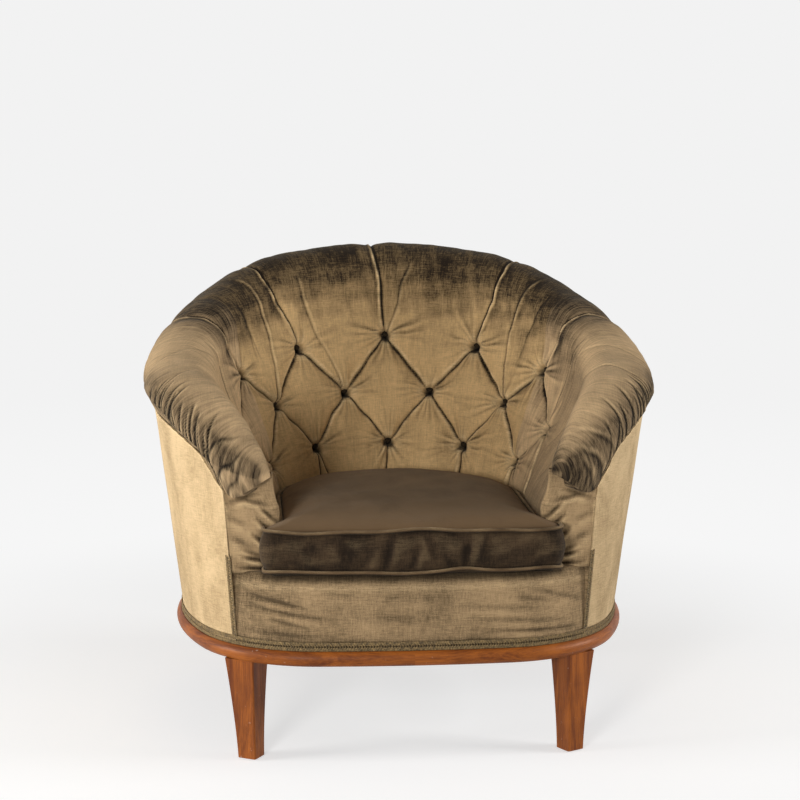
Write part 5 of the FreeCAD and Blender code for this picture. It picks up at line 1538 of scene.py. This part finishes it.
def softened(rows, first):
    """Rounds off the steps of the crown so that it reads as one soft dome."""
    for count in range(3):
        rows[first:-1] = 0.25 * rows[first - 1:-2] + 0.5 * rows[first:-1] + 0.25 * rows[first + 1:]
    return rows


def shape_cushion():
    """The seat cushion: seams drawn in, creased front boxing and a softly dented crown."""
    rows, cloth, part, out, way = cushion_skin(3.0)
    top = part == TOP
    rows = softened(rows, int(np.argmax(top)) + 1)
    x, y, z = rows[..., 0], rows[..., 1], rows[..., 2]
    way = way + 0.0 * z
    boxing = (part == BOXING) * unit((z - SEAM_LOW) / 7.0) * unit((SEAM_HIGH - z) / 7.0)
    sink = creases(x, z, BOXING_FOLDS) * unit((-y - 322.0) / 14.0) * boxing
    sink = sink + boxing * waves(way, z * 1.4, 61, 5, 95.0) * 2.2
    rows[..., :2] -= out * sink[..., None]
    lift = np.zeros(x.shape)
    for seam, low in ((SEAM_LOW, True), (SEAM_HIGH, False)):
        lift = lift + seam_wave(x, y, low) * bell(z, seam, 14.0) * (part > BOTTOM)
    dents = waves(x, y, 41, 5, 230.0) * 3.0 + waves(x, y, 43, 5, 70.0) * 0.6
    dents = dents * unit((z - SEAM_HIGH - 3.0) / 18.0) * top
    # Small pleats run in from the top seam, where it is drawn up
    pucker = np.sin(way / 5.2 + 2.5 * np.sin(way / 61.0)) * top
    pucker = pucker * np.exp(-np.clip(z - SEAM_HIGH, 0.0, 40.0) / 6.0) * 0.5
    rows[..., 2] = np.maximum(z + lift + dents + pucker, CUSHION_BOTTOM + 0.3)
    rows[-1, :, 2] = rows[-1, :, 2].mean()
    # Painted shade along the two seams
    pinch = np.exp(-np.abs(z - SEAM_HIGH) / 2.5) + np.exp(-np.abs(z - SEAM_LOW) / 3.0)
    bald = bell(x, 20.0, 130.0) * bell(y, -60.0, 120.0) * top
    # Crown: random patches of the pile, with painted shade further back from the front edge; boxing:
    # painted shade, far darker than the crown, with random streaks and darker creases; a bald patch of
    # rubbed pile where one sits
    pile_and_shade = top * (1.08 + 0.34 * waves(x, y, 13, 6, 260.0) - 0.38 * eased(unit((y + 330.0) / 200.0)))
    streak = waves(way, z * 1.1, 19, 7, 80.0)
    pile_and_shade = pile_and_shade + (1.0 - top) * (0.15 + 0.14 * np.clip(streak, -0.8, 1.0) - 0.05 * sink)
    values = {"pile_and_shade": pile_and_shade + 0.1 * bald, "fold": unit(0.8 * pinch * (part > BOTTOM)),
              "wear_and_highlight": 0.02 * bald + 0.05 * unit(-sink) * (1.0 - top)}
    return rows, cloth, values


def piping(name, z, low, node):
    """Piped edge: a round cord in bias cut velvet, along one seam of the cushion."""
    radius = sizes().piping_radius / MM
    loop = cushion_outline(-radius - 1.0, 5.0)
    height = z + seam_wave(loop[:, 0], loop[:, 1], low)
    way = way_along(loop)
    turn = np.arange(13)[:, None] * math.pi / 6.0
    slant = radius * (1.0 + 0.05 * np.sin(way / 2.3 + turn * 2.0))
    spot = loop + loop_outward(loop) * (slant * np.cos(turn))[..., None]
    points = np.concatenate((spot, (height + slant * np.sin(turn))[..., None]), axis=-1)
    points = np.concatenate((points, points[:, :1]), axis=1)
    way = np.append(way, way[-1] + 5.0) + 0.0 * turn
    # Rubbed pile, uneven along the cord, with a painted highlight on its upper side, and painted shade
    # on its underside
    rubbed = 0.6 + 1.2 * waves(way, 0.0 * way, 71, 5, 120.0)
    wear_and_highlight = unit((0.2 + np.sin(turn)) * 0.26 * np.clip(rubbed, 0.0, 1.3))
    shade = unit(-np.sin(turn)) + 0.0 * way
    values = {"pile_and_shade": 0.55 - 0.4 * shade, "fold": 0.8 * shade, "wear_and_highlight": wear_and_highlight}
    stuffed(name, points * MM, np.stack((way, radius * turn + 0.0 * way), -1) * MM, values,
            velvet("cushion"), "seat_cushion", "cushion_velvet", node)


class CHAIR_OT_seat_cushion(bpy.types.Operator):
    """Loose seat cushion, with its crown and boxing drawn in at the seams"""
    bl_idname = "chair.seat_cushion"
    bl_label = "Seat cushion"

    def execute(self, context):
        rows, cloth, values = shape_cushion()
        stuffed("seat_cushion_cover", rows * MM, cloth * MM, values, velvet("cushion"), "seat_cushion",
                "cushion_velvet", "cushion_top", "cushion_boxing", "cushion_bottom", "cushion_filling",
                fill=0.7)
        return {"FINISHED"}


class CHAIR_OT_cushion_piping(bpy.types.Operator):
    """Piped edges round the top and the bottom of the cushion"""
    bl_idname = "chair.cushion_piping"
    bl_label = "Cushion piping"

    def execute(self, context):
        piping("piping_top", SEAM_HIGH, False, "cushion_piping_top")
        piping("piping_bottom", SEAM_LOW, True, "cushion_piping_bottom")
        return {"FINISHED"}


# Braid

def stitch_mesh(length, width, thickness, lean):
    """One slanted stitch of the braid, as points and faces about its middle."""
    points, faces = [], []
    ring = 6
    stops = (-1.0, -0.7, 0.0, 0.7, 1.0)
    for s in stops:
        fat = math.sqrt(max(1.0 - s * s, 0.02))
        for k in range(ring):
            q = 2.0 * math.pi * k / ring
            along = 0.5 * length * s
            across = 0.5 * width * fat * math.cos(q)
            x = along * math.cos(lean) - across * math.sin(lean)
            z = along * math.sin(lean) + across * math.cos(lean)
            points.append((x, 0.5 * thickness * fat * math.sin(q), z))
    for i in range(len(stops) - 1):
        for k in range(ring):
            a, b = i * ring + k, i * ring + (k + 1) % ring
            faces.append((a, b, b + ring, a + ring))
    faces.append(tuple(reversed(range(ring))))
    faces.append(tuple(range(len(points) - ring, len(points))))
    return np.array(points), faces


def braid(name, line, height, material, node):
    """Woven gimp along a line of places: two rows of slanted stitches between two cords.

    line holds a place, the way along and the way out for every stitch, in millimetres.
    """
    pitch = sizes().gimp_pitch / MM
    strands = [(side * 0.26 * height, stitch_mesh(0.62 * height, 0.86 * pitch, 2.2, side * 0.85))
               for side in (1.0, -1.0)]
    strands += [(side * (0.5 * height - 0.8), stitch_mesh(1.25 * pitch, 1.7, 1.9, side * 0.25))
                for side in (1.0, -1.0)]
    vertices, faces = [], []
    for spot, along, out in line:
        up = np.cross(along, out)
        if up[2] < 0.0:
            up = -up
        for rise, (points, stitch_faces) in strands:
            base = len(vertices)
            local = points + np.array((0.0, 0.0, rise))
            world = spot + local[:, :1] * along + local[:, 1:2] * out + local[:, 2:] * up
            vertices.extend((world * MM).tolist())
            faces.extend(tuple(v + base for v in face) for face in stitch_faces)
    mesh = bpy.data.meshes.new(name)
    mesh.from_pydata(vertices, [], faces)
    obj = bpy.data.objects.new(name, mesh)
    bpy.context.scene.collection.objects.link(obj)
    outward(obj, merge=False, fill=False)
    smooth_shaded(obj, 70)
    finished(obj, material, "chair", "braid", node)


def rim_line(offset, z, pitch):
    """Evenly spaced places round the rim outline, with the ways along and out."""
    fine = np.array([rim_point(360.0 * i / 3000.0, offset) for i in range(3001)])
    way = way_along(fine)
    count = int(round(way[-1] / pitch))
    line = []
    for i in range(count):
        at = (i + 0.5) * way[-1] / count
        x, x_before, x_after = np.interp((at, at - 0.5, at + 0.5), way, fine[:, 0])
        y, y_before, y_after = np.interp((at, at - 0.5, at + 0.5), way, fine[:, 1])
        along = np.array((x_after - x_before, y_after - y_before, 0.0))
        along /= np.linalg.norm(along)
        line.append((np.array((x, y, z)), along, np.array((-along[1], along[0], 0.0))))
    return line


# Height at which the braids of the side seams end
SIDE_GIMP_TOP = 322.0


def seam_line(angle, pitch):
    """Evenly spaced places up a side seam, with the ways along and out."""
    foot = RIM_TOP + 14.5
    turn = math.radians(angle)
    out = np.array((math.sin(turn), math.cos(turn), 0.0))
    heights = foot + (np.arange(int((SIDE_GIMP_TOP - foot) / pitch)) + 0.5) * pitch
    return [(place(outside_radius(abs(angle), z) + 1.4, angle, z) / MM, np.array((0.0, 0.0, 1.0)), out)
            for z in heights]


class CHAIR_OT_braids(bpy.types.Operator):
    """Woven gimp along the rim and up the side seams"""
    bl_idname = "chair.braids"
    bl_label = "Braids"

    def execute(self, context):
        pitch = sizes().gimp_pitch / MM
        light = colours().braid
        woven = plain_material("woven_braid", light, [0.42 * share for share in light], 260.0, 0.85)
        braid("rim_braid", rim_line(-4.6, RIM_TOP + 7.2, pitch), 13.6, woven, "base_gimp")
        for name, angle in (("right", SIDE_SEAM), ("left", -SIDE_SEAM)):
            braid("side_braid_" + name, seam_line(angle, pitch), 12.0, woven, "side_gimp_" + name)
        return {"FINISHED"}


# Deck and dust cloth

class CHAIR_OT_deck(bpy.types.Operator):
    """Deck under the cushion, with its stitched front band"""
    bl_idname = "chair.deck"
    bl_label = "Deck"

    def execute(self, context):
        low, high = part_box("deck_cover")
        x = np.linspace(low.x + 0.001, high.x - 0.001, 90)[None, :]
        y = np.linspace(low.y + 0.001, high.y - 0.001, 90)[:, None]
        middle_y = AXIS_Y * MM
        reach = np.hypot(x, y - middle_y)
        edge = seat_edge(np.degrees(np.arctan2(np.abs(x), y - middle_y)))
        front = y < middle_y - 0.15
        share = np.where(front, 1.0, np.minimum(1.0, (edge + 14.0) * MM / np.maximum(reach, 1e-6)))
        x = np.where(front, np.clip(x, -0.215, 0.215), x * share)
        y = middle_y + (y - middle_y) * share
        # A stitched seam divides the deck from its front band
        seam = bell(y, -0.262, 0.0022)
        z = DECK_TOP * MM - 0.0004 - 0.0016 * seam - 0.0008 * (1.0 + waves(x, y, 9, 5, 0.12))
        # A dark line along the stitched seam, and painted shade on the front strip that lies under the
        # cushion's front edge
        values = {"pile_and_shade": 0.55 + 0.3 * waves(x, y, 31, 5, 0.15), "wear_and_highlight": 0.2 * seam,
                  "fold": np.maximum(0.7 * seam, 0.9 * unit((-y - 0.285) / 0.008))}
        laid("deck_cloth", np.stack((x, y, z), -1), np.stack((x, y), -1), values, velvet("front"),
             "front_velvet", "deck_cover", thickness=0.0015, fill=0.5)
        return {"FINISHED"}


class CHAIR_OT_dust_cloth(bpy.types.Operator):
    """Black cambric stretched under the seat, sagging a little between its tacks"""
    bl_idname = "chair.dust_cloth"
    bl_label = "Dust cloth"

    def execute(self, context):
        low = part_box("dust_cover")[0]
        rings, spokes = 26, 180
        points = np.zeros((rings, spokes + 1, 3))
        for j in range(spokes + 1):
            x, y = rim_point(360.0 * j / spokes if j < spokes else 0.0, -22.0)
            for i in range(rings):
                t = i / (rings - 1.0)
                sag = 4.0 * (1.0 - t * t) + 0.5 * math.sin(j * 0.7) * t ** 6
                reach = 0.985 * t
                points[i, j] = (x * reach, AXIS_Y + (y - AXIS_Y) * reach, low.z / MM - 0.3 - sag)
        obj = drawn_grid("cambric_cloth", points * MM, points[..., :2] * MM, {})
        outward(obj, fill=False)
        add_wall(obj, 0.0005)
        smooth_shaded(obj)
        material = plain_material("cambric", (0.13, 0.12, 0.12), (0.06, 0.06, 0.06), 320.0, 0.9)
        finished(obj, material, "chair", "cambric", "dust_cover")
        return {"FINISHED"}


# Wood and hidden frame

def dress(node, material):
    """Gives a CAD node a better material."""
    for slot in node.material_slots:
        slot.material = material


class CHAIR_OT_wood(bpy.types.Operator):
    """Polished legs and rim"""
    bl_idname = "chair.wood"
    bl_label = "Legs and rim"

    def execute(self, context):
        upright = wood_material("polished_leg", round_seat=False)
        ring = wood_material("polished_rim", round_seat=True)
        for name, node in frame["nodes"].items():
            if name.startswith(("front_leg", "rear_leg")):
                dress(node, upright)
            elif name in ("rim_back", "rim_right", "rim_front", "rim_left"):
                dress(node, ring)
        return {"FINISHED"}


# Hidden materials by slot: name, light and dark tone, scale, roughness, metallic and stretch
HIDDEN = {
    "frame_beech": ("sawn_beech", (0.80, 0.64, 0.45), (0.66, 0.49, 0.32), 30.0, 0.75, 0.0,
                    (1.0, 1.0, 0.25)),
    "jute": ("jute", (0.70, 0.56, 0.36), (0.48, 0.36, 0.21), 140.0, 0.95),
    "spring_steel": ("spring_steel", (0.62, 0.58, 0.52), (0.40, 0.35, 0.30), 60.0, 0.4, 1.0),
    "stuffing": ("stuffing_fibre", (0.84, 0.79, 0.68), (0.66, 0.58, 0.45), 55.0, 1.0),
    "nylon": ("nylon_glide", (0.16, 0.15, 0.14), (0.10, 0.09, 0.09), 90.0, 0.5),
}


class CHAIR_OT_hidden_frame(bpy.types.Operator):
    """Wooden frame, webbing, springs and stuffing inside the covers"""
    bl_idname = "chair.hidden_frame"
    bl_label = "Hidden frame"

    def execute(self, context):
        materials = {slot: plain_material(*look) for slot, look in HIDDEN.items()}
        slots = {row["node"]: row["material_slot"] for row in frame["record"]["subparts"]}
        for name, node in frame["nodes"].items():
            material = materials.get(slots.get(name))
            if material and not node.hide_render:
                dress(node, material)
        return {"FINISHED"}


# Stage

CAMERA_PLACE = (-0.25187, -3.19394, 0.95047)
CAMERA_AIM = (0.08004, 0.98764, -0.13477)
CAMERA_LENS = 86.11
WORLD_LEVEL = 0.13
BACKDROP = (0.888, 0.888, 0.888, 1.0)
FLOOR = (0.923, 0.923, 0.923, 1.0)
# How much of the lit floor shows near the chair, and how brightly it is lit there
SHADOW_SHARE = 0.75
FLOOR_LIGHT = 0.50
# Lamps: name, place, aim, size, power and colour
LAMPS = (
    ("lamp_left", (-3.0, -0.45, 0.80), (0.0, 0.0, 0.42), 1.1, 64.0, (1.0, 0.985, 0.965)),
    ("lamp_right", (2.9, -0.55, 1.20), (0.0, 0.0, 0.42), 1.1, 50.0, (1.0, 0.99, 0.98)),
    ("lamp_front", (-1.25, -3.1, 1.00), (0.0, 0.0, 0.45), 0.7, 52.0, (1.0, 0.99, 0.98)),
)


class CHAIR_OT_stage(bpy.types.Operator):
    """Pale floor and backdrop, soft studio lamps and the camera"""
    bl_idname = "chair.stage"
    bl_label = "Stage"

    def execute(self, context):
        scene = context.scene
        scene.view_settings.view_transform = "Standard"
        self.backdrop()
        for name, spot, aim, size, power, colour in LAMPS:
            deselect()
            bpy.ops.object.light_add(type="AREA", location=spot)
            lamp = context.active_object
            lamp.name = name
            lamp.data.shape = "SQUARE"
            lamp.data.size = size
            lamp.data.energy = power
            lamp.data.color = colour
            way = Vector(aim) - Vector(spot)
            lamp.rotation_euler = way.to_track_quat("-Z", "Y").to_euler()
        world = bpy.data.worlds.new("studio")
        scene.world = world
        world.use_nodes = True
        w = Wires(world.node_tree)
        sky = world.node_tree.nodes["Background"]
        set_sockets(sky, {0: (1.0, 1.0, 1.0, 1.0), 1: WORLD_LEVEL})
        plain = w.put("ShaderNodeBackground", {"Color": BACKDROP, "Strength": 1.0})
        both = w.put("ShaderNodeMixShader", {0: self.seen(w), 1: sky.outputs[0], 2: plain.outputs[0]})
        w.join(both.outputs[0], world.node_tree.nodes["World Output"].inputs["Surface"])
        deselect()
        bpy.ops.object.camera_add(location=CAMERA_PLACE)
        camera = context.active_object
        camera.name = "camera"
        camera.data.lens = CAMERA_LENS
        camera.data.sensor_width = 36.0
        camera.data.dof.use_dof = False
        camera.rotation_euler = Vector(CAMERA_AIM).to_track_quat("-Z", "Y").to_euler()
        scene.camera = camera
        deselect()
        return {"FINISHED"}

    def seen(self, w):
        """One for rays that show the backdrop itself: from the camera, or mirrored or let through."""
        path = w.put("ShaderNodeLightPath").outputs
        turned = w.math("MAXIMUM", path["Is Glossy Ray"], path["Is Transmission Ray"])
        return w.math("MAXIMUM", path["Is Camera Ray"], turned)

    def backdrop(self):
        """Pale floor that keeps the soft shadow near the chair and turns plain further off."""
        deselect()
        bpy.ops.mesh.primitive_circle_add(vertices=96, radius=6.0, fill_type="NGON")
        floor = bpy.context.active_object
        floor.name = "floor"
        material, shader, w = new_material("pale_floor", (0.9, 0.9, 0.9, 1.0))
        set_sockets(shader, {"Base Color": (0.80, 0.80, 0.80, 1.0), "Roughness": 0.9,
                             "Specular IOR Level": 0.0})
        spot = w.put("ShaderNodeTexCoord").outputs["Object"]
        reach = w.put("ShaderNodeVectorMath", {0: spot}, operation="LENGTH").outputs["Value"]
        near = w.math("SUBTRACT", 1.0, w.ramp(reach, 0.55, 1.5))
        # The lit floor is topped up to an even pale tone, so that only the shadow shows in it
        far = w.math("MULTIPLY_ADD", near, -SHADOW_SHARE, 1.0)
        level = w.math("MULTIPLY_ADD", near, -SHADOW_SHARE * FLOOR_LIGHT / FLOOR[0], 1.0)
        tone = w.mix(w.ramp(reach, 1.2, 4.5), FLOOR, BACKDROP)
        glow = w.put("ShaderNodeEmission", {"Color": tone, "Strength": w.math("DIVIDE", level, far)})
        share = w.math("MULTIPLY", self.seen(w), far)
        both = w.put("ShaderNodeMixShader", {0: share, 1: shader.outputs[0], 2: glow.outputs[0]})
        w.join(both.outputs[0], w.tree.nodes["Material Output"].inputs["Surface"])
        floor.data.materials.append(material)


class CHAIR_PT_pieces(bpy.types.Panel):
    """Sizes, colours and pieces of the chair"""
    bl_idname = "CHAIR_PT_pieces"
    bl_label = "Club chair"
    bl_space_type = "VIEW_3D"
    bl_region_type = "UI"
    bl_category = "Club chair"

    def draw(self, context):
        layout = self.layout
        for group in (context.scene.chair_sizes, context.scene.chair_colours):
            for name in group.bl_rna.properties.keys():
                if name not in ("rna_type", "name"):
                    layout.prop(group, name)
        for operator in OPERATORS:
            layout.operator(operator.bl_idname)


OPERATORS = (
    CHAIR_OT_stage, CHAIR_OT_buttoned_inside, CHAIR_OT_buttons, CHAIR_OT_outside_cover,
    CHAIR_OT_front_apron, CHAIR_OT_arm_fronts, CHAIR_OT_seat_cushion, CHAIR_OT_cushion_piping,
    CHAIR_OT_braids, CHAIR_OT_deck, CHAIR_OT_dust_cloth, CHAIR_OT_wood, CHAIR_OT_hidden_frame,
)
CLASSES = (ChairSizes, ChairColours) + OPERATORS + (CHAIR_PT_pieces,)


def register():
    for one in CLASSES:
        bpy.utils.register_class(one)
    bpy.types.Scene.chair_sizes = bpy.props.PointerProperty(type=ChairSizes)
    bpy.types.Scene.chair_colours = bpy.props.PointerProperty(type=ChairColours)


def unregister():
    del bpy.types.Scene.chair_colours
    del bpy.types.Scene.chair_sizes
    for one in reversed(CLASSES):
        bpy.utils.unregister_class(one)


def main():
    register()
    bpy.ops.chair.stage()
    bpy.ops.chair.buttoned_inside()
    bpy.ops.chair.buttons()
    bpy.ops.chair.outside_cover()
    bpy.ops.chair.front_apron()
    bpy.ops.chair.arm_fronts()
    bpy.ops.chair.seat_cushion()
    bpy.ops.chair.cushion_piping()
    bpy.ops.chair.braids()
    bpy.ops.chair.deck()
    bpy.ops.chair.dust_cloth()
    bpy.ops.chair.wood()
    bpy.ops.chair.hidden_frame()


if __name__ == "__main__":
    main()
